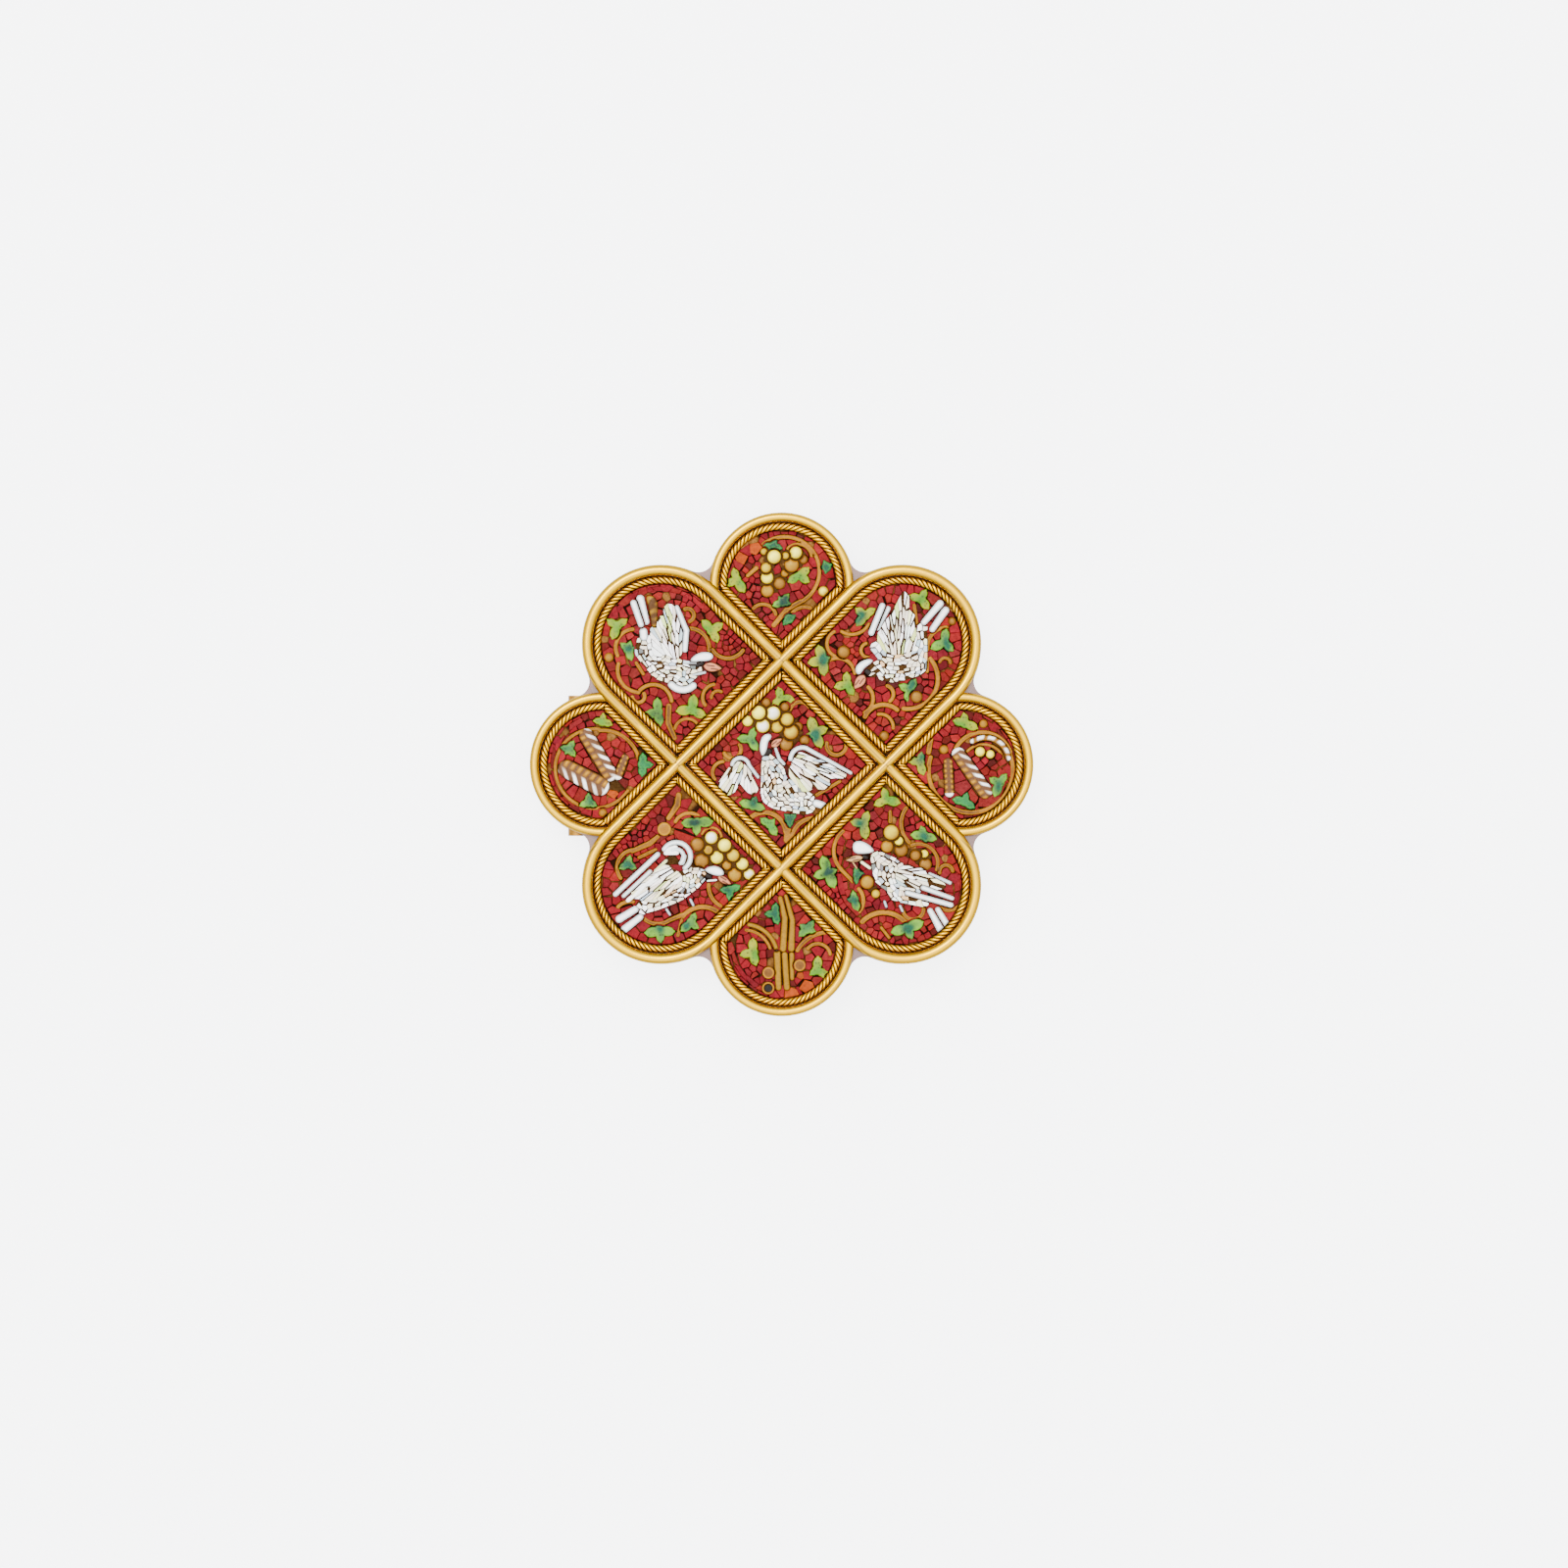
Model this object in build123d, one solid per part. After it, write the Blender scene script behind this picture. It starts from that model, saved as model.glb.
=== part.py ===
from build123d import *

import os
from collections import namedtuple
from math import acos, atan2, cos, radians, sin, sqrt

# Micromosaic brooch, in millimetres: a gold case whose raised bands make nine cells, each
# edged with a twisted rope and filled with a mosaic of doves, vine, leaves and fruit.
# The brooch lies on its pin fitting, face up. +Z is the way the face looks, +Y the top of
# the design and +X its right-hand side. Z = 0 is the surface that it lies on.

# Plan of the frame: two crossed long cells with round ends, and four petals between them
cell_half = 6.25
band_width = 0.95
lobe_out = 11.0
petal_reach = 6.22
petal_radius = 5.75
rim_width = 0.80
rim_turn = 240
cross_turn = 45
notch_round = 1.5
wall_flare = 0.12

# Heights of the case, from the back of the case upwards
fitting_drop = 2.0
back_wall = 0.6
bed_depth = 2.2
ledge_depth = 2.6
shelf_depth = 3.2
band_lift = 0.45
cross_drop = 0.10
rim_drop = 0.06

# Twisted rope borders, and the clear gaps beside them
rope_dia = 0.72
rope_seam = 0.06
ledge_width = 0.70
bed_fit = 0.02
field_seam = 0.08

# The mosaic: the joint between two pieces, the thin layer that the ground is set in, and how
# far each kind of piece stands above that layer
joint = 0.12
least_side = 0.55
setting_layer = 0.20
ground_rise = 0.60
vine_rise = 0.68
leaf_rise = 0.72
fruit_rise = 0.80
body_rise = 0.84
feather_rise = 0.90
smooth_rise = 0.96

# Pin fitting on the back
barrel_dia = 1.8
fitting_past = 2.3
barrel_top = 6.33
barrel_bottom = -6.56
stem_dia = 0.9
stem_point = 2.2
stem_tip_dia = 0.22
catch_dia = 2.0
catch_length = 1.4
catch_back = 1.8
foot_length = 2.4
foot_width = 1.8
foot_inset = 3.2

# Places that follow from the sizes above
lobe_reach = lobe_out * sqrt(2)
band_mid = cell_half + band_width / 2
band_outside = cell_half + band_width
petal_out = band_outside * sqrt(2) + petal_reach
barrel_x = -(petal_out + fitting_past)
stem_reach = 2 * (petal_out + fitting_past) - stem_point
case_back = fitting_drop
bed_top = case_back + back_wall + bed_depth
piece_foot = bed_top + setting_layer
ledge_top = case_back + back_wall + ledge_depth
shelf_top = case_back + back_wall + shelf_depth
rope_mid = rope_seam + rope_dia / 2
field_inset = rope_seam + rope_dia + field_seam

# The mosaic worker's setting-out step: tables below count such steps from a cell's own centre
step_share = 0.16
step = cell_half * step_share

# Turns of the outer cells about the middle, in degrees: the long cells cross at a right angle,
# and the petals stand halfway between them
quarter_turn = 90
first_petal = cross_turn - quarter_turn / 2
lobe_turns = {
    "northeast": cross_turn,
    "northwest": cross_turn + quarter_turn,
    "southwest": cross_turn + 2 * quarter_turn,
    "southeast": cross_turn + 3 * quarter_turn,
}
petal_turns = {
    "east": first_petal,
    "north": first_petal + quarter_turn,
    "west": first_petal + 2 * quarter_turn,
    "south": first_petal + 3 * quarter_turn,
}
centres = {"centre": Pos(0, 0)}
for lobe, turn in lobe_turns.items():
    centres[lobe] = Pos(lobe_reach * cos(radians(turn)), lobe_reach * sin(radians(turn)))
for petal, turn in petal_turns.items():
    centres[petal] = Pos(petal_out * cos(radians(turn)), petal_out * sin(radians(turn)))

# Shapes that the mosaic pieces are cut to. All lengths are steps, all turns degrees.
# Disc: a round piece. Limb: a strip with two round ends of their own radii.
# Hoop: a bent strip of one width. Leaf: lobes that leave one point, each a turn and a length.
Disc = namedtuple("Disc", "x y radius")
Limb = namedtuple("Limb", "x1 y1 radius1 x2 y2 radius2")
Hoop = namedtuple("Hoop", "x y radius start end width")
Leaf = namedtuple("Leaf", "x y turns lengths")
lobe_fatness = 0.52
least_fatness = 0.115
leaf_heart = 0.46
vine_width = 0.34


def disc_face(row, grow):
    return Pos(row.x * step, row.y * step) * Circle(row.radius * step + grow)


def limb_face(row, grow):
    start = Vector(row.x1, row.y1) * step
    end = Vector(row.x2, row.y2) * step
    radius1 = row.radius1 * step + grow
    radius2 = row.radius2 * step + grow
    along = end - start
    heading = atan2(along.Y, along.X)
    lean = acos((radius1 - radius2) / along.length)

    def rim_point(middle, radius, turn):
        return middle + Vector(cos(turn), sin(turn)) * radius

    left1 = rim_point(start, radius1, heading + lean)
    right1 = rim_point(start, radius1, heading - lean)
    left2 = rim_point(end, radius2, heading + lean)
    right2 = rim_point(end, radius2, heading - lean)
    tail = rim_point(start, radius1, heading + radians(180))
    nose = rim_point(end, radius2, heading)
    edges = [
        Line(left2, left1),
        ThreePointArc(left1, tail, right1),
        Line(right1, right2),
        ThreePointArc(right2, nose, left2),
    ]
    return make_face(edges)


def hoop_face(row, grow):
    middle = Vector(row.x, row.y) * step
    half = row.width * step / 2 + grow
    inner = row.radius * step - half
    outer = row.radius * step + half

    def on(radius, turn):
        return middle + Vector(cos(radians(turn)), sin(radians(turn))) * radius

    halfway = (row.start + row.end) / 2
    start_out = Vector(sin(radians(row.start)), -cos(radians(row.start))) * half
    start_tip = on(row.radius * step, row.start) + start_out
    end_out = Vector(-sin(radians(row.end)), cos(radians(row.end))) * half
    end_tip = on(row.radius * step, row.end) + end_out
    edges = [
        ThreePointArc(on(outer, row.start), on(outer, halfway), on(outer, row.end)),
        ThreePointArc(on(outer, row.end), end_tip, on(inner, row.end)),
        ThreePointArc(on(inner, row.end), on(inner, halfway), on(inner, row.start)),
        ThreePointArc(on(inner, row.start), start_tip, on(outer, row.start)),
    ]
    return make_face(edges)


def leaf_face(row, grow):
    face = Circle(leaf_heart * step + grow)
    for turn, length in zip(row.turns, row.lengths):
        half_length = length * step / 2
        half_width = half_length * lobe_fatness + least_fatness * step
        lobe = Pos(half_length, 0) * Ellipse(half_length + grow, half_width + grow)
        face += Rot(0, 0, turn) * lobe
    return Pos(row.x * step, row.y * step) * face


cutters = {"Disc": disc_face, "Limb": limb_face, "Hoop": hoop_face, "Leaf": leaf_face}


def piece_face(rows, grow=0.0):
    # One mosaic piece, the union of its rows, grown all round by the given amount
    face = Sketch()
    for row in rows:
        face += cutters[type(row).__name__](row, grow)
    return face


# Doves. Each part of a dove is one piece made of a few rows, topmost part first.
Dove = namedtuple("Dove", "cell smooth feathers body")
doves = [
    Dove(
        cell="centre",
        smooth=[
            [Hoop(-0.75, 1.55, 0.95, 110, 215, 0.52)],
            [Limb(-0.92, 1.92, 0.26, -0.30, 2.38, 0.20)],
            [Limb(-0.55, 1.45, 0.13, -0.22, 0.50, 0.17), Limb(-0.22, 0.50, 0.17, 0.20, 0.05, 0.15)],
            [Hoop(-3.75, -0.20, 0.78, 15, 165, 0.38), Limb(-2.98, -0.05, 0.18, -2.15, -1.15, 0.15)],
            [Hoop(1.90, 0.45, 1.08, 70, 178, 0.42), Limb(2.25, 1.46, 0.21, 6.30, -0.78, 0.16)],
            [Limb(3.15, -3.55, 0.34, 3.75, -3.75, 0.34)],
        ],
        feathers=[
            [Limb(-4.00, -0.50, 0.72, -4.95, -2.00, 0.78), Limb(-3.60, -0.80, 0.70, -2.70, -2.15, 0.52)],
            [
                Limb(1.90, 0.10, 0.95, 5.60, -0.95, 0.30),
                Limb(1.90, 0.10, 0.95, 3.70, -1.55, 0.72),
                Limb(1.50, -0.70, 0.80, 2.20, -1.80, 0.68),
            ],
        ],
        body=[
            Limb(-1.20, 0.35, 0.55, -0.75, -0.90, 1.05),
            Limb(-0.75, -0.90, 1.05, -0.60, -2.60, 1.25),
            Limb(-0.30, -2.90, 1.15, 2.20, -3.70, 0.85),
            Limb(0.70, -1.90, 0.55, 2.60, -3.10, 0.42),
        ],
    ),
    Dove(
        cell="northwest",
        smooth=[
            [Limb(3.05, -1.38, 0.22, 4.15, -1.15, 0.35)],
            [Limb(4.22, -2.08, 0.26, 5.15, -2.20, 0.18)],
            [Limb(2.95, -2.85, 0.12, 4.00, -2.62, 0.13)],
            [Hoop(2.00, -2.80, 1.40, 222, 312, 0.66)],
            [Limb(-2.50, 3.70, 0.30, -1.82, 1.75, 0.27)],
            [Limb(-1.88, 4.10, 0.36, -1.32, 2.00, 0.28)],
            [Limb(1.45, 3.30, 0.22, 2.32, 1.20, 0.26), Limb(2.32, 1.20, 0.26, 2.18, -0.55, 0.26)],
            [Limb(-1.60, 1.10, 0.36, -1.55, 0.60, 0.36)],
        ],
        feathers=[
            [
                Limb(0.75, 3.20, 0.42, 1.05, 0.20, 1.05),
                Limb(1.05, 0.20, 1.05, 1.25, -0.75, 0.60),
                Limb(0.10, 2.20, 0.34, 0.25, -0.20, 0.75),
                Limb(-0.62, 1.15, 0.34, -0.20, -0.60, 0.55),
            ],
        ],
        body=[
            Limb(-1.55, 0.60, 0.45, -1.30, -0.60, 1.02),
            Limb(-1.30, -0.60, 1.02, 0.10, -2.10, 1.15),
            Limb(0.10, -2.10, 1.15, 1.80, -2.70, 1.15),
            Limb(1.80, -2.70, 1.15, 3.20, -2.35, 0.58),
        ],
    ),
    Dove(
        cell="northeast",
        smooth=[
            [Limb(-3.85, -2.02, 0.42, -2.90, -1.55, 0.22)],
            [Limb(-3.70, -3.10, 0.26, -4.15, -3.68, 0.18)],
            [Limb(-3.05, -3.52, 0.12, -2.30, -3.10, 0.13)],
            [Limb(1.98, 1.95, 0.28, 3.45, 3.65, 0.34)],
            [Limb(2.75, 1.32, 0.28, 3.95, 3.05, 0.34)],
            [Limb(-2.82, 1.00, 0.28, -1.82, 3.45, 0.28)],
            [Limb(-2.22, 1.40, 0.20, -1.30, 3.20, 0.24)],
        ],
        feathers=[
            [
                Limb(-0.70, 0.30, 1.30, 0.25, 4.35, 0.32),
                Limb(0.05, 0.30, 1.25, 0.55, 2.50, 0.50),
                Limb(-1.35, 0.55, 0.90, -1.00, 1.60, 0.80),
            ],
        ],
        body=[
            Limb(-2.60, -2.40, 0.62, -1.00, -2.30, 1.15),
            Limb(-1.00, -2.30, 1.15, 1.00, -1.85, 1.20),
            Limb(1.00, -1.85, 1.20, 1.75, 0.60, 0.45),
            Limb(1.75, 0.60, 0.45, 1.85, 1.60, 0.38),
            Limb(-2.40, -0.30, 0.45, -1.00, -1.60, 0.75),
        ],
    ),
    Dove(
        cell="southwest",
        smooth=[
            [Limb(4.42, 1.40, 0.35, 5.42, 1.18, 0.30)],
            [Limb(5.25, 0.70, 0.23, 6.20, 0.22, 0.13)],
            [Limb(4.10, 0.72, 0.13, 5.00, 0.34, 0.12)],
            [Limb(-4.15, -0.85, 0.24, -0.30, 2.78, 0.24)],
            [Limb(-3.40, -1.00, 0.19, -1.00, 1.22, 0.20)],
            [Hoop(1.40, 2.58, 1.30, -52, 148, 0.46)],
            [Hoop(1.35, 2.55, 0.72, -50, 118, 0.40)],
            [Limb(-3.80, -3.10, 0.36, -2.35, -2.22, 0.32)],
            [Limb(-3.28, -4.00, 0.36, -1.90, -2.92, 0.30)],
            [Limb(2.62, -1.40, 0.11, 3.05, -1.68, 0.11)],
            [Limb(0.38, -2.20, 0.11, 0.66, -2.68, 0.11)],
        ],
        feathers=[
            [Limb(-2.10, -0.70, 0.55, 0.40, 1.05, 0.72), Limb(-1.40, -0.90, 0.60, 1.10, 0.45, 0.85)],
        ],
        body=[
            Limb(3.40, 0.90, 0.70, 2.70, 0.55, 1.00),
            Limb(2.70, 0.55, 1.00, 1.30, -0.35, 1.15),
            Limb(1.30, -0.35, 1.15, -0.70, -1.55, 0.78),
            Limb(-0.70, -1.55, 0.78, -1.90, -2.15, 0.52),
        ],
    ),
    Dove(
        cell="southeast",
        smooth=[
            [Limb(-4.00, 3.48, 0.48, -2.75, 3.20, 0.20)],
            [Limb(-4.75, 2.28, 0.17, -3.95, 2.48, 0.25)],
            [Limb(-3.70, 2.02, 0.12, -2.95, 1.85, 0.15)],
            [Limb(2.50, 1.05, 0.12, 4.35, 0.20, 0.17)],
            [Limb(0.45, -0.72, 0.25, 4.45, -1.82, 0.24)],
            [Limb(1.90, -0.25, 0.24, 4.55, -1.22, 0.20)],
            [Limb(2.55, -2.35, 0.26, 3.45, -4.00, 0.34)],
            [Limb(3.25, -2.25, 0.25, 4.12, -3.72, 0.32)],
            [Limb(-1.60, -1.62, 0.11, -1.50, -2.12, 0.10)],
            [Limb(0.20, -1.80, 0.12, -0.18, -2.40, 0.13)],
        ],
        feathers=[
            [Limb(0.40, 0.80, 0.98, 3.10, -0.05, 0.42), Limb(1.60, 0.85, 0.62, 3.60, -0.10, 0.28)],
        ],
        body=[
            Limb(-2.20, 2.40, 0.62, -1.20, 1.10, 1.40),
            Limb(-1.20, 1.10, 1.40, 0.40, -0.20, 1.30),
            Limb(-0.40, -0.60, 0.85, 2.10, -1.65, 0.32),
        ],
    ),
]

# Fruit, in the order in which it is set: a later piece is cut back where an earlier one lies
fruit = {
    "centre": [
        Disc(-2.10, 4.70, 0.68), Disc(-0.75, 4.65, 0.68), Disc(0.50, 4.10, 0.62),
        Disc(-3.10, 3.95, 0.52), Disc(-1.70, 3.50, 0.66), Disc(-0.40, 3.40, 0.56),
        Disc(0.85, 2.95, 0.70), Disc(0.42, 1.85, 0.62), Disc(2.10, 2.20, 0.46),
        Disc(1.35, 2.10, 0.42), Disc(-1.40, 5.65, 0.42), Disc(0.30, 5.25, 0.42),
        Disc(1.50, 3.45, 0.42),
    ],
    "northeast": [
        Disc(-5.35, -0.75, 0.58), Disc(1.30, -4.85, 0.56), Disc(-1.65, -8.40, 0.46),
        Disc(4.55, 2.05, 0.38),
    ],
    "southwest": [
        Disc(3.30, 3.70, 0.64), Disc(4.60, 4.32, 0.62), Disc(5.80, 3.62, 0.64),
        Disc(4.30, 3.20, 0.44), Disc(5.10, 2.50, 0.62), Disc(6.58, 2.70, 0.60),
        Disc(3.70, 2.20, 0.68), Disc(6.00, 1.78, 0.44), Disc(7.42, 1.92, 0.58),
        Disc(6.72, 0.92, 0.64), Disc(8.05, 0.98, 0.54), Disc(0.30, 5.10, 0.64),
    ],
    "southeast": [
        Disc(-1.00, 4.80, 0.72), Disc(-0.32, 4.02, 0.44), Disc(-1.38, 3.50, 0.58),
        Disc(-0.10, 3.20, 0.62), Disc(1.20, 2.70, 0.50), Disc(2.02, 2.85, 0.40),
        Disc(2.12, 1.88, 0.58), Disc(-3.20, 0.25, 0.64), Disc(-2.42, -0.80, 0.42),
    ],
    "north": [
        Disc(-0.68, 2.52, 0.66), Disc(0.36, 2.62, 0.36), Disc(1.30, 2.90, 0.60),
        Disc(0.92, 1.78, 0.68), Disc(1.98, 2.28, 0.42), Disc(-1.42, 1.52, 0.50),
        Disc(-1.32, 0.62, 0.60), Disc(-0.20, 0.10, 0.56), Disc(-1.30, -0.58, 0.60),
        Disc(0.28, 1.00, 0.36), Disc(3.80, -0.62, 0.50), Disc(-1.62, 3.00, 0.34),
    ],
}

# Single berries on the vine
berries = {
    "northwest": [Disc(-4.75, -1.25, 0.46)],
    "east": [Disc(2.00, 3.70, 0.42), Disc(-1.60, 1.35, 0.44)],
    "south": [Disc(-1.20, -2.60, 0.56), Disc(-1.22, -4.00, 0.58), Disc(1.65, -1.92, 0.56)],
    "west": [Disc(0.10, -4.42, 0.42)],
}

# Ribbed ears and pods of the two side petals, with the peas of the open pod
pods = {
    "west": [
        [Limb(-1.28, 2.40, 0.60, 0.58, -0.65, 0.62)],
        [Limb(-3.00, -0.50, 0.74, -0.40, -1.87, 0.82)],
        [Limb(2.12, 0.57, 0.34, 1.50, -0.95, 0.42)],
    ],
    "east": [
        [Limb(-0.12, 0.72, 0.56, 2.00, -2.25, 0.62)],
        [Limb(-1.22, 0.12, 0.42, -1.10, -2.50, 0.42)],
        [Hoop(2.20, 0.35, 2.02, 8, 122, 0.50)],
        [Disc(1.70, 1.15, 0.46)],
        [Disc(2.62, 0.92, 0.40)],
        [Disc(3.72, 0.10, 0.28)],
        [Disc(3.45, 0.68, 0.22)],
    ],
}

# Leaves, each with its lobes' turns and lengths
leaves = {
    "centre": [
        Leaf(-0.10, 6.00, (100, -4, 222), (1.05, 1.25, 1.00)),
        Leaf(3.00, 2.85, (104, 22, -64, 205), (1.50, 1.25, 1.45, 0.80)),
        Leaf(-2.85, 2.30, (68, 176, -58), (1.10, 1.15, 1.20)),
        Leaf(-2.60, -3.75, (75, 166, -15), (0.85, 1.25, 1.10)),
        Leaf(-1.05, -5.45, (152, -62, 45), (1.00, 1.15, 0.60)),
        Leaf(0.72, -4.98, (132, 36, -84), (0.62, 0.75, 0.75)),
    ],
    "northwest": [
        Leaf(-4.00, 1.65, (152, 32, -110), (1.05, 1.05, 1.30)),
        Leaf(-3.00, -0.50, (140, 0, -72, 72), (0.85, 0.70, 1.05, 0.75)),
        Leaf(4.60, 1.20, (130, 32, -60), (1.25, 1.20, 1.20)),
        Leaf(-0.25, -6.20, (96, 196, -84), (1.25, 1.30, 1.30)),
        Leaf(2.85, -6.05, (84, 182, -26), (1.40, 1.45, 1.35)),
    ],
    "northeast": [
        Leaf(-7.15, -1.50, (114, 190, -92, 30), (1.45, 1.45, 1.40, 0.60)),
        Leaf(-3.35, 2.60, (146, 36, -132), (1.10, 1.05, 1.25)),
        Leaf(1.72, 4.10, (166, 62, -54), (1.10, 0.95, 1.15)),
        Leaf(3.85, 0.15, (84, 206, -48), (1.20, 1.35, 1.10)),
        Leaf(-5.00, -3.70, (96, 192, -62), (1.10, 1.20, 1.10)),
        Leaf(0.70, -4.20, (64, 156, -108), (1.10, 1.05, 1.05)),
    ],
    "southwest": [
        Leaf(3.30, 5.72, (184, 2, -94, 96), (1.40, 1.45, 1.15, 0.45)),
        Leaf(-3.00, 1.95, (76, 212, -34), (0.75, 0.90, 0.85)),
        Leaf(6.28, -0.45, (180, 20, -90, 82), (0.85, 1.00, 0.95, 0.45)),
        Leaf(2.75, -3.40, (66, 222, -44), (0.90, 1.20, 0.85)),
        Leaf(-0.10, -4.15, (192, -6, -86, 130), (1.40, 1.35, 1.10, 0.55)),
    ],
    "southeast": [
        Leaf(-1.50, 7.80, (100, 208, -14), (1.05, 1.15, 1.35)),
        Leaf(-3.50, 5.60, (72, 172, -84), (1.15, 1.20, 1.40)),
        Leaf(2.00, 4.50, (108, 176, -16, -66), (0.90, 1.20, 1.15, 0.65)),
        Leaf(-6.75, 1.20, (112, 198, -70, 10), (1.50, 1.35, 1.55, 0.80)),
        Leaf(-4.05, 0.90, (108, 8, -100), (0.75, 0.65, 0.80)),
        Leaf(-4.40, -1.30, (96, 190, -72), (0.75, 0.60, 1.10)),
        Leaf(0.40, -3.90, (198, 18, -62, 105), (1.45, 1.60, 1.10, 0.45)),
    ],
    "north": [
        Leaf(-4.12, 0.45, (104, 206, -58), (1.05, 1.15, 1.35)),
        Leaf(-0.80, 3.45, (174, 62, -8), (0.85, 0.65, 0.85)),
        Leaf(1.55, 0.85, (32, 216, -34, 130), (1.15, 1.15, 1.15, 0.45)),
        Leaf(4.10, 1.60, (112, 24, -100), (0.60, 0.50, 0.60)),
        Leaf(0.08, -1.60, (52, 202, -12, 125), (0.90, 0.95, 0.75, 0.60)),
        Leaf(0.68, -3.12, (26, 226), (0.65, 0.75)),
    ],
    "east": [
        Leaf(0.32, 3.75, (95, 166, -22), (0.95, 1.10, 1.25)),
        Leaf(-3.80, 0.18, (168, 80, -74), (1.05, 0.95, 1.20)),
        Leaf(3.50, -1.65, (52, 162, -112), (0.95, 1.00, 1.35)),
        Leaf(0.30, -3.38, (76, 170, -34), (0.80, 1.10, 1.05)),
    ],
    "south": [
        Leaf(-0.62, 2.80, (84, 184, -74), (0.95, 0.90, 1.00)),
        Leaf(2.30, 1.38, (48, 146, 222, -14), (0.95, 0.75, 0.95, 0.80)),
        Leaf(-2.60, -0.70, (92, 194, -80), (1.25, 1.20, 1.25)),
        Leaf(3.20, -2.35, (82, 214, -26), (1.25, 0.75, 1.15)),
    ],
    "west": [
        Leaf(0.05, 3.92, (80, 174, -18), (0.75, 0.80, 0.95)),
        Leaf(-3.00, 1.40, (58, 168, -48, 236), (0.85, 0.75, 0.85, 0.55)),
        Leaf(3.72, 0.00, (86, -4, -90), (1.00, 0.95, 1.10)),
        Leaf(-1.20, -3.45, (90, 202, -24), (0.80, 0.85, 0.80)),
    ],
}

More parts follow.
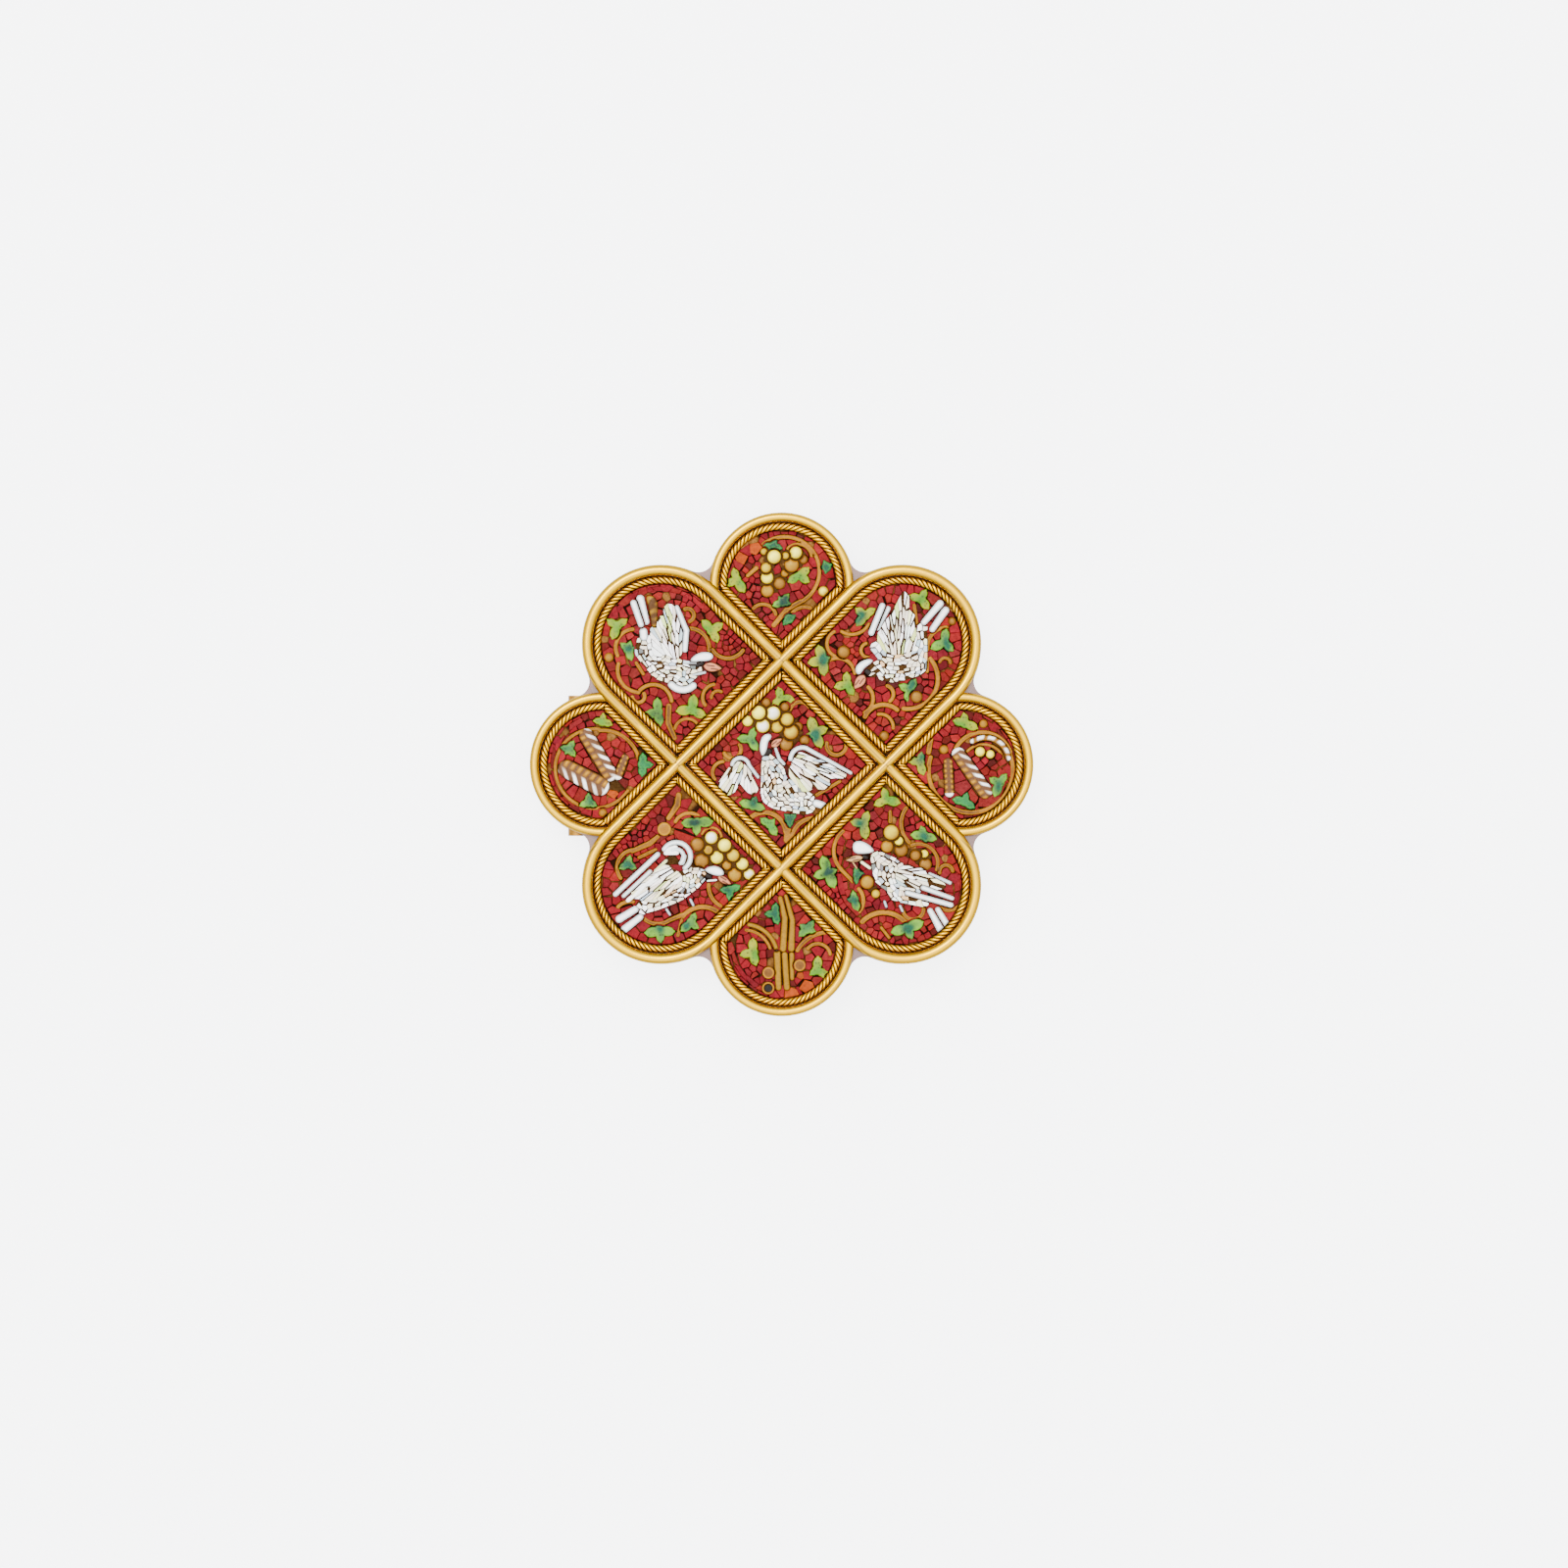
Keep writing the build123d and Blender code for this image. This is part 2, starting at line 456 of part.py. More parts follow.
# Vine: tendrils, stems and the trunk
vine = {
    "centre": [
        Hoop(-1.55, -6.30, 1.92, 5, 131, vine_width * 1.25),
        Hoop(3.00, -7.00, 2.10, 94, 172, vine_width * 1.15),
        Limb(0.55, -5.95, 0.30, 0.50, -6.90, 0.30),
        Hoop(-4.50, 1.35, 0.80, 205, 392, vine_width),
        Hoop(-5.30, -0.75, 1.00, 92, 218, vine_width * 0.9),
        Hoop(1.70, 4.75, 0.95, 32, 162, vine_width),
        Hoop(5.00, 1.75, 0.90, 168, 372, vine_width),
        Limb(3.20, -2.80, 0.15, 5.30, -1.55, 0.15),
    ],
    "northwest": [
        Hoop(-2.45, -0.35, 1.68, 94, 206, vine_width),
        Hoop(-1.90, -2.40, 2.05, 164, 266, vine_width),
        Hoop(-2.05, -4.80, 0.56, 186, 386, vine_width),
        Hoop(-0.70, -5.40, 1.68, 6, 137, vine_width),
        Limb(0.72, -5.70, 0.24, 0.66, -7.20, 0.24),
        Limb(0.66, -7.20, 0.24, 1.25, -8.60, 0.20),
        Hoop(2.40, -8.00, 1.16, 38, 166, vine_width * 0.8),
        Hoop(2.60, -0.40, 1.80, -6, 90, vine_width),
        Hoop(6.10, 0.32, 1.66, 212, 326, vine_width),
        Hoop(2.40, 2.60, 0.60, -70, 112, vine_width),
        Hoop(5.00, -4.90, 1.20, 98, 216, vine_width * 0.9),
        Hoop(5.20, -4.90, 0.60, 60, 182, vine_width * 0.8),
        Limb(-1.12, 4.30, 0.26, -0.82, 2.10, 0.28),
        Limb(-2.25, -1.75, 0.15, -1.62, -2.75, 0.15),
    ],
    "northeast": [
        Hoop(-4.60, 2.60, 1.75, 238, 332, vine_width * 0.9),
        Hoop(-5.62, 0.00, 1.25, 118, 246, vine_width * 0.9),
        Hoop(-5.90, -2.90, 1.60, 8, 122, vine_width),
        Hoop(-4.10, -5.00, 1.45, -62, 46, vine_width),
        Hoop(-1.60, -4.60, 0.80, -52, 72, vine_width),
        Hoop(-1.70, -7.40, 1.85, 48, 156, vine_width * 1.2),
        Hoop(0.50, -3.20, 2.75, -98, 42, vine_width * 1.15),
        Hoop(-2.00, -7.60, 1.18, -4, 98, vine_width * 0.9),
        Hoop(4.10, -0.30, 1.80, 92, 186, vine_width),
        Hoop(3.90, -1.80, 0.50, 8, 162, vine_width * 0.8),
        Hoop(-3.10, -0.60, 0.66, 108, 272, vine_width * 0.9),
        Limb(2.25, -1.40, 0.17, 2.25, -2.50, 0.18),
        Limb(1.10, 3.50, 0.15, 1.28, 1.90, 0.17),
    ],
    "southwest": [
        Limb(1.62, 8.20, 0.24, 1.50, 7.30, 0.26),
        Limb(1.50, 7.30, 0.26, 0.70, 6.10, 0.22),
        Hoop(2.60, 5.10, 1.45, 58, 152, vine_width),
        Limb(-0.28, 4.42, 0.18, -1.00, 3.80, 0.24),
        Limb(-1.00, 3.80, 0.24, -2.60, 3.10, 0.20),
        Hoop(-2.40, 1.60, 1.60, 98, 217, vine_width),
        Limb(-2.00, 2.50, 0.14, -0.50, 3.20, 0.16),
        Hoop(4.60, 4.32, 0.92, -8, 158, vine_width * 0.7),
        Hoop(-0.30, -1.70, 1.85, 228, 304, vine_width),
        Limb(0.75, -3.22, 0.17, 1.95, -2.72, 0.20),
        Hoop(3.80, -4.35, 2.35, 48, 142, vine_width * 1.25),
        Hoop(6.40, -0.10, 2.05, 176, 242, vine_width),
        Limb(1.90, -3.20, 0.14, 1.55, -4.60, 0.14),
        Hoop(-2.80, -3.00, 1.50, 80, 138, vine_width),
    ],
    "southeast": [
        Hoop(-3.90, 3.10, 2.35, 130, 226, vine_width),
        Limb(-5.58, 1.42, 0.17, -4.50, 0.32, 0.17),
        Hoop(-5.10, -1.40, 1.55, -46, 42, vine_width * 1.1),
        Hoop(-1.70, -5.15, 2.65, 44, 137, vine_width * 1.3),
        Hoop(1.00, -2.20, 0.95, 198, 372, vine_width),
        Hoop(2.30, 5.60, 2.40, 144, 226, vine_width),
        Hoop(1.50, 2.00, 1.75, -20, 112, vine_width * 0.9),
        Hoop(4.00, 1.22, 0.60, 6, 192, vine_width * 0.9),
        Limb(-1.10, 6.70, 0.13, -1.10, 5.75, 0.15),
        Hoop(-2.50, 4.70, 0.85, -4, 84, vine_width * 0.7),
        Hoop(4.20, -0.80, 1.50, 238, 322, vine_width),
        Limb(-1.90, -3.90, 0.13, -1.20, -4.80, 0.13),
    ],
    "north": [
        Hoop(0.30, 1.20, 3.15, -58, 128, vine_width),
        Limb(1.75, -1.55, 0.20, 0.50, -2.25, 0.22),
        Limb(0.50, -2.25, 0.22, -0.70, -3.70, 0.22),
        Hoop(1.50, 2.42, 1.26, 10, 136, vine_width * 0.9),
        Hoop(-1.70, -3.00, 1.20, 14, 136, vine_width * 0.9),
        Hoop(2.10, -3.50, 1.45, 68, 146, vine_width * 0.9),
        Limb(-3.10, 0.80, 0.16, -2.30, 1.50, 0.20),
    ],
    "east": [
        Hoop(0.85, -0.55, 3.85, 162, 384, vine_width * 1.15),
        Hoop(1.90, 0.20, 2.72, 20, 152, vine_width * 1.1),
        Hoop(2.00, -0.20, 2.02, 22, 136, vine_width * 0.7),
        Limb(-2.20, 3.05, 0.16, -0.65, 4.70, 0.17),
        Limb(-2.80, 2.30, 0.22, -3.00, 1.10, 0.22),
    ],
    "south": [
        Limb(-0.12, 4.20, 0.18, 0.30, 2.40, 0.23),
        Limb(0.30, 2.40, 0.23, 0.14, -0.40, 0.27),
        Limb(0.38, 4.40, 0.14, 0.98, 2.20, 0.21),
        Limb(0.98, 2.20, 0.21, 0.88, -0.40, 0.27),
        Limb(-0.40, -0.82, 0.27, -0.28, -3.95, 0.24),
        Limb(0.28, -0.95, 0.24, 0.48, -3.95, 0.24),
        Limb(0.92, -0.95, 0.20, 0.95, -3.10, 0.16),
        Hoop(-3.40, -1.20, 3.02, 15, 82, vine_width * 0.95),
        Hoop(-3.40, -1.20, 2.50, 20, 86, vine_width * 0.8),
        Hoop(4.30, -2.20, 3.30, 92, 150, vine_width * 1.1),
        Hoop(3.30, -1.10, 1.15, 10, 142, vine_width * 0.9),
        Limb(-2.00, -0.72, 0.11, -1.15, -1.30, 0.13),
    ],
    "west": [
        Hoop(-0.62, -0.38, 3.62, 84, 326, vine_width * 0.85),
        Hoop(0.10, -0.25, 3.36, -22, 95, vine_width * 0.95),
    ],
}


# Plan faces of the frame, each with an inset from the inside of its gold bands
def long_cell_plan(half_width, length_to_cap):
    straight = Rectangle(2 * length_to_cap, 2 * half_width)
    caps = Pos(length_to_cap, 0) * Circle(half_width) + Pos(-length_to_cap, 0) * Circle(half_width)
    return straight + caps


def centre_cell(inset):
    side = 2 * (cell_half - inset)
    return Rot(0, 0, cross_turn) * Rectangle(side, side)


def lobe_cell(turn, inset):
    near = band_outside + inset
    half = cell_half - inset
    corners = [(lobe_reach, half), (near, half), (near, -half), (lobe_reach, -half)]
    sides = Polyline(*corners)
    cap = ThreePointArc((lobe_reach, -half), (lobe_reach + half, 0), (lobe_reach, half))
    return Rot(0, 0, turn) * make_face([*sides.edges(), cap.edge()])


def petal_cell(turn, inset):
    # The bands on both sides meet at a right angle; the outer side is round
    radius = petal_radius - inset
    corner_out = (band_outside + inset) * sqrt(2)
    reach = petal_reach - inset * sqrt(2)
    outer_x = (reach + sqrt(2 * radius**2 - reach**2)) / 2
    top = (corner_out + outer_x, outer_x)
    bottom = (corner_out + outer_x, -outer_x)
    sides = Polyline(top, (corner_out, 0), bottom)
    cap = ThreePointArc(bottom, (petal_out + radius, 0), top)
    return Rot(0, 0, turn) * make_face([*sides.edges(), cap.edge()])


def cell_face(cell, inset):
    if cell in lobe_turns:
        return lobe_cell(lobe_turns[cell], inset)
    if cell in petal_turns:
        return petal_cell(petal_turns[cell], inset)
    return centre_cell(inset)


# The case
def band_section(width, crest_lift):
    # A band's cross-section, its foot sunk in the wall below and its top half round
    half = width / 2
    foot = shelf_top - band_lift
    shoulder = shelf_top + crest_lift
    crest = (0, shoulder + half)
    sides = Polyline((-half, shoulder), (-half, foot), (half, foot), (half, shoulder))
    top = ThreePointArc((half, shoulder), crest, (-half, shoulder))
    return make_face([*sides.edges(), top.edge()])


def long_band(turn, crest_lift):
    # Two straight bands and the two round ends that join them
    section = Plane.XZ * band_section(band_width, crest_lift)
    upright = Rot(0, 0, 90) * section
    band = Part()
    for side in (-1, 1):
        bar = extrude(Pos(-lobe_reach, side * band_mid) * upright, amount=2 * lobe_reach, dir=(1, 0, 0))
        band += bar
    end_section = Pos(band_mid, 0) * section
    for end_turn in (-90, 90):
        cap = revolve(Rot(0, 0, end_turn) * end_section, Axis.Z, 180)
        band += Pos(lobe_reach if end_turn < 0 else -lobe_reach, 0) * cap
    return Rot(0, 0, turn) * band


def petal_rim(turn, long_plans):
    # A round rim that is open towards the middle, cut off where the long bands pass
    section = Plane.XZ * band_section(rim_width, band_lift - rim_drop)
    start = Rot(0, 0, -rim_turn / 2) * Pos(petal_radius + rim_width / 2, 0) * section
    ring = Rot(0, 0, turn) * Pos(petal_out, 0) * revolve(start, Axis.Z, rim_turn)
    clearing = extrude(Pos(0, 0, case_back) * long_plans, amount=2 * shelf_top)
    return ring - clearing


def case():
    long_plan = long_cell_plan(band_outside, lobe_reach)
    long_plans = Rot(0, 0, cross_turn) * (long_plan + Rot(0, 0, quarter_turn) * long_plan)
    outline = long_plans
    for turn in petal_turns.values():
        outline += Rot(0, 0, turn) * Pos(petal_out, 0) * Circle(petal_radius + rim_width)
    eased = offset(offset(outline, notch_round), -notch_round)
    foot_outline = Pos(0, 0, case_back) * offset(eased, wall_flare)
    head_outline = Pos(0, 0, shelf_top) * eased
    solid = loft([foot_outline.faces()[0], head_outline.faces()[0]], ruled=True)
    for cell in centres:
        channel = Pos(0, 0, ledge_top) * cell_face(cell, 0.0)
        solid -= extrude(channel, amount=2 * shelf_top)
        pocket = Pos(0, 0, case_back + back_wall) * cell_face(cell, ledge_width)
        solid -= extrude(pocket, amount=2 * shelf_top)
    solid += long_band(cross_turn, band_lift)
    solid += long_band(cross_turn + quarter_turn, band_lift - cross_drop)
    for turn in petal_turns.values():
        solid += petal_rim(turn, long_plans)
    return solid


# The pieces inside one cell
def rope(cell):
    # One tube for each side of the cell, joined by a ball at each corner
    lift = Pos(0, 0, ledge_top + rope_dia / 2)
    path = lift * cell_face(cell, rope_mid).wires()[0]
    tube = Part()
    for side in path.edges():
        section = Plane(origin=side @ 0, z_dir=side % 0) * Circle(rope_dia / 2)
        tube += sweep(section, path=side)
    for corner in path.vertices():
        tube += Pos(*corner) * Sphere(rope_dia / 2)
    return tube


def cement(cell):
    bed = Pos(0, 0, case_back + back_wall) * cell_face(cell, ledge_width + bed_fit)
    return extrude(bed, amount=bed_depth)


def near(face, other):
    one = face.bounding_box()
    two = other.bounding_box()
    apart_x = one.min.X > two.max.X or two.min.X > one.max.X
    apart_y = one.min.Y > two.max.Y or two.min.Y > one.max.Y
    return not (apart_x or apart_y)


class Field:
    # One cell's mosaic, set piece by piece: each new piece is trimmed to the cell and kept
    # one joint away from all that is set already
    def __init__(self, cell):
        self.place = centres[cell]
        self.edge = cell_face(cell, field_inset)
        self.taken = []

    def fit(self, rows):
        face = (self.place * piece_face(rows)) & self.edge
        for other in self.taken:
            if near(face, other):
                face = face - other
        self.taken.append(self.place * piece_face(rows, joint))
        return face

    def ground(self):
        # One plate, cut down to its setting layer round every piece
        layer = extrude(Pos(0, 0, bed_top) * self.edge, amount=setting_layer)
        face = self.edge
        for other in self.taken:
            face = face - other
        return [layer.solid() + raised([face], ground_rise)]


def raised(faces, rise):
    # Every separate face that is large enough to hold becomes a block on the setting layer
    blocks = []
    for sketch in faces:
        for face in sketch.faces():
            if face.area > least_side**2:
                blocks.append(extrude(Pos(0, 0, piece_foot) * face, amount=rise).solid())
    return blocks


def mosaic(cell):
    # The solids of one cell's mosaic by kind, from the topmost pieces down to the ground
    field = Field(cell)
    blocks = {"dove": [], "pods": [], "fruit": [], "leaves": [], "vine": [], "ground": []}
    for dove in doves:
        if dove.cell == cell:
            blocks["dove"] += raised([field.fit(rows) for rows in dove.smooth], smooth_rise)
            blocks["dove"] += raised([field.fit(rows) for rows in dove.feathers], feather_rise)
            blocks["dove"] += raised([field.fit(dove.body)], body_rise)
    blocks["pods"] = raised([field.fit(rows) for rows in pods.get(cell, [])], fruit_rise)
    blocks["fruit"] = raised([field.fit([row]) for row in fruit.get(cell, [])], fruit_rise)
    blocks["vine"] = raised([field.fit([row]) for row in berries.get(cell, [])], fruit_rise)
    blocks["leaves"] = raised([field.fit([row]) for row in leaves[cell]], leaf_rise)
    blocks["vine"] += raised([field.fit(vine[cell])], vine_rise)
    blocks["ground"] = field.ground()
    return blocks


# The pin fitting: barrel, two feet, stem and catch in one piece
def pin_fitting():
    barrel_length = barrel_top - barrel_bottom
    barrel_middle = (barrel_top + barrel_bottom) / 2
    barrel_place = Pos(barrel_x, barrel_middle, barrel_dia / 2) * Rot(90, 0, 0)
    piece = barrel_place * Cylinder(barrel_dia / 2, barrel_length)
    foot_height = case_back - barrel_dia / 2
    for foot_y in (barrel_bottom + foot_inset, barrel_top - foot_inset):
        at = Pos(barrel_x, foot_y, case_back - foot_height / 2)
        piece += at * Box(foot_width, foot_length, foot_height)
    stem = Pos(barrel_x, 0, barrel_dia / 2) * Rot(0, 90, 0)
    align = (Align.CENTER, Align.CENTER, Align.MIN)
    piece += stem * Cylinder(stem_dia / 2, stem_reach, align=align)
    tip = Pos(barrel_x + stem_reach, 0, barrel_dia / 2) * Rot(0, 90, 0)
    piece += tip * Cone(stem_dia / 2, stem_tip_dia / 2, stem_point, align=align)
    catch_x = barrel_x + stem_reach - catch_back
    catch = Pos(catch_x, 0, catch_dia / 2) * Rot(0, 90, 0) * Cylinder(catch_dia / 2, catch_length)
    post = Pos(catch_x, 0, case_back / 2) * Box(catch_length, catch_dia / 2, case_back)
    post &= Pos(catch_x, 0, case_back) * Box(catch_length, catch_dia, catch_dia)
    piece += catch
    piece += post
    return piece


# Write one file per piece
os.makedirs("parts", exist_ok=True)
export_step(case(), "parts/case.step")
export_step(pin_fitting(), "parts/pin_fitting.step")
for cell in centres:
    export_step(rope(cell), f"parts/rope_{cell}.step")
    export_step(cement(cell), f"parts/cement_{cell}.step")
    for kind, blocks in mosaic(cell).items():
        if blocks:
            export_step(Compound(blocks), f"parts/{kind}_{cell}.step")
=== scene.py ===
# %% [markdown]
# # A micromosaic brooch
# The brooch is a gold case with nine cells. Each cell has a border of twisted gold wire, and inside
# it doves, vine, leaves and fruit are set in a ground of tiny red glass pieces, the tesserae.
# The solid model gives every place and size. This lesson keeps its gold case and pin, and makes
# the wires and the thousands of glass pieces, because those are too fine for a solid model.

# %% Load the frame
import math
import bpy
import numpy as np
from mathutils.geometry import delaunay_2d_cdt
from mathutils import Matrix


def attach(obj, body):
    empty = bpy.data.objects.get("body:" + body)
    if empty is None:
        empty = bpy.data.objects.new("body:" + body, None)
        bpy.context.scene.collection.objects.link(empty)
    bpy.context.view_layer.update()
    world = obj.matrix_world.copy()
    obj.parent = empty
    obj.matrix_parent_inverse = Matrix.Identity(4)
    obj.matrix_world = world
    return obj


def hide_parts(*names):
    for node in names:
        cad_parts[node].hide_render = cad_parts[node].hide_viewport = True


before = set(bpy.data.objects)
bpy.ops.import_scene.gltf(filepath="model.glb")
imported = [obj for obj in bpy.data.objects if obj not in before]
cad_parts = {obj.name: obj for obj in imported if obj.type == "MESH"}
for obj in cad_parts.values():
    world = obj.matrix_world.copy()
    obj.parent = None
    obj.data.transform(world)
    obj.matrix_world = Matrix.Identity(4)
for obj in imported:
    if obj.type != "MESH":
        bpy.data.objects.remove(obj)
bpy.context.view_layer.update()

# %% [markdown]
# ## Table, light and camera
# The photograph was taken from straight above, on white paper, in broad soft light. The sky of
# the studio is brightest overhead and fades towards the floor, which gives the gold its pale
# crests and its dark flanks, and one large panel brightens the upper left. Small lamps would be
# easier to place, but they leave hard dots on polished metal. The paper glows only for the camera,
# so that its white doesn't wash out the gold. Every finish here is a few nodes, so the first cell
# holds the two helpers that make them.

# %% Node helpers
def add_node(tree, kind, inputs=None, **settings):
    """A node of the kind. Each input is a value, or an output of another node to link from."""
    node = tree.nodes.new("ShaderNode" + kind)
    for title, setting in settings.items():
        setattr(node, title, setting)
    for title, value in (inputs or {}).items():
        if isinstance(value, bpy.types.NodeSocket):
            tree.links.new(value, node.inputs[title])
        else:
            node.inputs[title].default_value = value
    return node


def new_material(name):
    """A material with its node tree and its shader."""
    material = bpy.data.materials.new(name)
    material.use_nodes = True
    return material, material.node_tree, material.node_tree.nodes["Principled BSDF"]


# %% Table
table_width = 6.0
bpy.ops.object.select_all(action="DESELECT")
bpy.ops.mesh.primitive_plane_add(size=table_width)
table = bpy.context.object
table.name = "table"
paper, paper_tree, paper_shader = new_material("white paper")
grain = add_node(paper_tree, "TexNoise", {"Scale": 900})
paper_tones = add_node(paper_tree, "ValToRGB", {"Fac": grain.outputs["Fac"]})
paper_tones.color_ramp.elements[0].color = (0.49, 0.49, 0.49, 1)
paper_tones.color_ramp.elements[1].color = (0.52, 0.52, 0.52, 1)
camera_ray = add_node(paper_tree, "LightPath").outputs["Is Camera Ray"]
glow_ends = {"Factor": camera_ray, "A": (0, 0, 0, 1), "B": (0.985, 1.0, 1.03, 1)}
glow = add_node(paper_tree, "Mix", glow_ends, data_type="RGBA")
paper_tree.links.new(paper_tones.outputs["Color"], paper_shader.inputs["Base Color"])
paper_tree.links.new(glow.outputs["Result"], paper_shader.inputs["Emission Color"])
paper_shader.inputs["Roughness"].default_value = 0.9
paper_shader.inputs["Emission Strength"].default_value = 4.6
table.data.materials.append(paper)
print("table, metres:", table_width)

# %% Light
world = bpy.data.worlds.new("studio")
bpy.context.scene.world = world
world.use_nodes = True
sky = world.node_tree
sky_parts = add_node(sky, "SeparateXYZ", {"Vector": add_node(sky, "TexCoord").outputs["Generated"]})
sky_tones = add_node(sky, "ValToRGB", {"Fac": sky_parts.outputs["Z"]})
sky_tones.color_ramp.elements[0].color = (0.15, 0.15, 0.15, 1)
sky_tones.color_ramp.elements[1].color = (1.0, 1.0, 1.0, 1)
for height, tone in ((0.34, 0.27), (0.64, 0.53), (0.85, 0.87)):
    sky_tones.color_ramp.elements.new(height).color = (tone, tone, tone, 1)
sky.links.new(sky_tones.outputs["Color"], sky.nodes["Background"].inputs["Color"])
sky.nodes["Background"].inputs["Strength"].default_value = 5.9

panel = bpy.data.lights.new("overhead panel", "AREA")
panel.shape = "SQUARE"
panel.size = 0.34
panel.energy = 8.0
panel.color = (1.0, 0.985, 0.96)
panel_x, panel_y, panel_z = -0.16, 0.26, 0.82
panel_holder = bpy.data.objects.new(panel.name, panel)
panel_holder.location = (panel_x, panel_y, panel_z)
panel_tilt = math.atan2(math.sqrt(panel_x ** 2 + panel_y ** 2), panel_z)
panel_holder.rotation_euler = (panel_tilt, 0, math.atan2(panel_x, -panel_y))
bpy.context.scene.collection.objects.link(panel_holder)
print("panel, watts:", panel.energy)

# %% Camera
camera = bpy.data.objects.new("camera", bpy.data.cameras.new("camera"))
bpy.context.scene.collection.objects.link(camera)
bpy.context.scene.camera = camera
camera.data.sensor_width = 36
picture_width = 0.1429
camera_height = 0.60
subject_height = 0.006
camera.data.lens = camera.data.sensor_width * (camera_height - subject_height) / picture_width
camera.location = (0.00022, -0.00179, camera_height)
print("lens, mm:", round(camera.data.lens, 1))

# %% [markdown]
# ## Finishes
# Two effects repeat on this brooch, so each is a shader group. Opaque glass is never one even
# colour: it has clouds, fine pits and slightly uneven polish, with grime and painted shade in its
# nooks. Gold that has been worn has soft shifts of colour, hairline scratches, and dark dirt where
# fingers and cloths don't reach, painted together with the shade of its corners.
# Groups put out colours and heights, and the shader itself stays in each material.

# %% Named tints
tints = {
    "white": (0.94, 0.94, 0.92), "cool white": (0.380, 0.470, 0.520), "warm white": (0.740, 0.670, 0.520),
    "pink white": (0.651, 0.400, 0.180), "ivory": (0.800, 0.760, 0.450), "cream": (0.930, 0.850, 0.060),
    "pale green": (0.549, 0.640, 0.200), "grey": (0.121, 0.130, 0.130), "edge": (0.420, 0.400, 0.360),
    "pale yellow": (0.520, 0.410, 0.0008), "yellow": (0.300, 0.175, 0.0008),
    "amber": (0.250, 0.115, 0.0008), "ochre": (0.215, 0.085, 0.0008), "brown ochre": (0.110, 0.040, 0.0030),
    "skin": (0.130, 0.050, 0.0008), "gold rim": (0.270, 0.110, 0.0006), "core": (0.076, 0.027, 0.0015),
    "trunk": (0.215, 0.108, 0.0008), "bead": (0.330, 0.150, 0.0060), "ear brown": (0.080, 0.032, 0.0110),
    "tan": (0.230, 0.095, 0.010), "bill": (0.430, 0.235, 0.095), "beak": (0.446, 0.150, 0.070),
    "lime": (0.225, 0.235, 0.0008), "leaf": (0.055, 0.160, 0.006), "mint": (0.008, 0.150, 0.026),
    "sage": (0.105, 0.250, 0.012), "teal": (0.002, 0.055, 0.026), "deep teal": (0.001, 0.024, 0.014),
    "crimson": (0.135, 0.0030, 0.0066), "brick": (0.155, 0.0065, 0.0048), "rose": (0.165, 0.0075, 0.0085),
    "wine": (0.066, 0.0034, 0.0024), "orange": (0.250, 0.036, 0.0012), "crumb": (0.230, 0.110, 0.030),
    "mastic": (0.016, 0.0045, 0.0012), "joint": (0.020, 0.008, 0.002), "dark": (0.005, 0.002, 0.0012),
}


def linear(name):
    """A named tint, as the linear colour that a shader takes."""
    return np.array(tints[name])


print(len(tints), "tints")


# %% Shader group helpers
def new_group(name, inputs, outputs):
    """A shader group with its sockets and its two ends."""
    group = bpy.data.node_groups.new(name, "ShaderNodeTree")
    for title, kind, value in inputs:
        socket = group.interface.new_socket(title, in_out="INPUT", socket_type=kind)
        socket.default_value = value
    for title, kind in outputs:
        group.interface.new_socket(title, in_out="OUTPUT", socket_type=kind)
    return group, group.nodes.new("NodeGroupInput"), group.nodes.new("NodeGroupOutput")


def noise(group, scale_from, detail):
    place = add_node(group, "TexCoord").outputs["Object"]
    inputs = {"Vector": place, "Scale": scale_from, "Detail": detail}
    return add_node(group, "TexNoise", inputs).outputs["Fac"]


def nook_depth(group, reach):
    """How open each point is, from 0 in a corner to 1, looking around by the reach."""
    return add_node(group, "AmbientOcclusion", {"Distance": reach}, samples=8).outputs["AO"]


def spread(tree, value, low, high, out_low, out_high):
    """Maps a value from one range onto another."""
    ends = {"From Min": low, "From Max": high, "To Min": out_low, "To Max": out_high}
    return add_node(tree, "MapRange", {"Value": value, **ends}).outputs["Result"]


def sum_up(tree, operation, first, second=0):
    return add_node(tree, "Math", {0: first, 1: second}, operation=operation).outputs["Value"]


def blend_colours(tree, share, first, second, kind="MIX"):
    ends = {"Factor": share, "A": first, "B": second}
    return add_node(tree, "Mix", ends, data_type="RGBA", blend_type=kind).outputs["Result"]


# %% Glass body group
glass, glass_in, glass_out = new_group(
    "glass body",
    [("Colour", "NodeSocketColor", (1, 1, 1, 1)), ("Cloud Size", "NodeSocketFloat", 2200.0),
     ("Pit Size", "NodeSocketFloat", 9000.0), ("Cloud Depth", "NodeSocketFloat", 0.25),
     ("Polish", "NodeSocketFloat", 0.3), ("Grime And Shade", "NodeSocketFloat", 0.8)],
    [("Colour", "NodeSocketColor"), ("Roughness", "NodeSocketFloat"), ("Height", "NodeSocketFloat")],
)
clouds = noise(glass, glass_in.outputs["Cloud Size"], 4.0)
pits = noise(glass, glass_in.outputs["Pit Size"], 3.0)
cloudy = spread(glass, clouds, 0.32, 0.68, 0.0, 1.0)
cloud_share = sum_up(glass, "MULTIPLY", cloudy, glass_in.outputs["Cloud Depth"])
deeper = blend_colours(glass, cloud_share, glass_in.outputs["Colour"], (0.42, 0.36, 0.36, 1), "MULTIPLY")
pit_share = spread(glass, pits, 0.30, 0.42, 0.35, 0.0)
pitted = blend_colours(glass, pit_share, deeper, (0.10, 0.06, 0.04, 1), "MULTIPLY")
patchy = spread(glass, clouds, 0.3, 0.7, -0.06, 0.12)
uneven = sum_up(glass, "ADD", glass_in.outputs["Polish"], patchy)
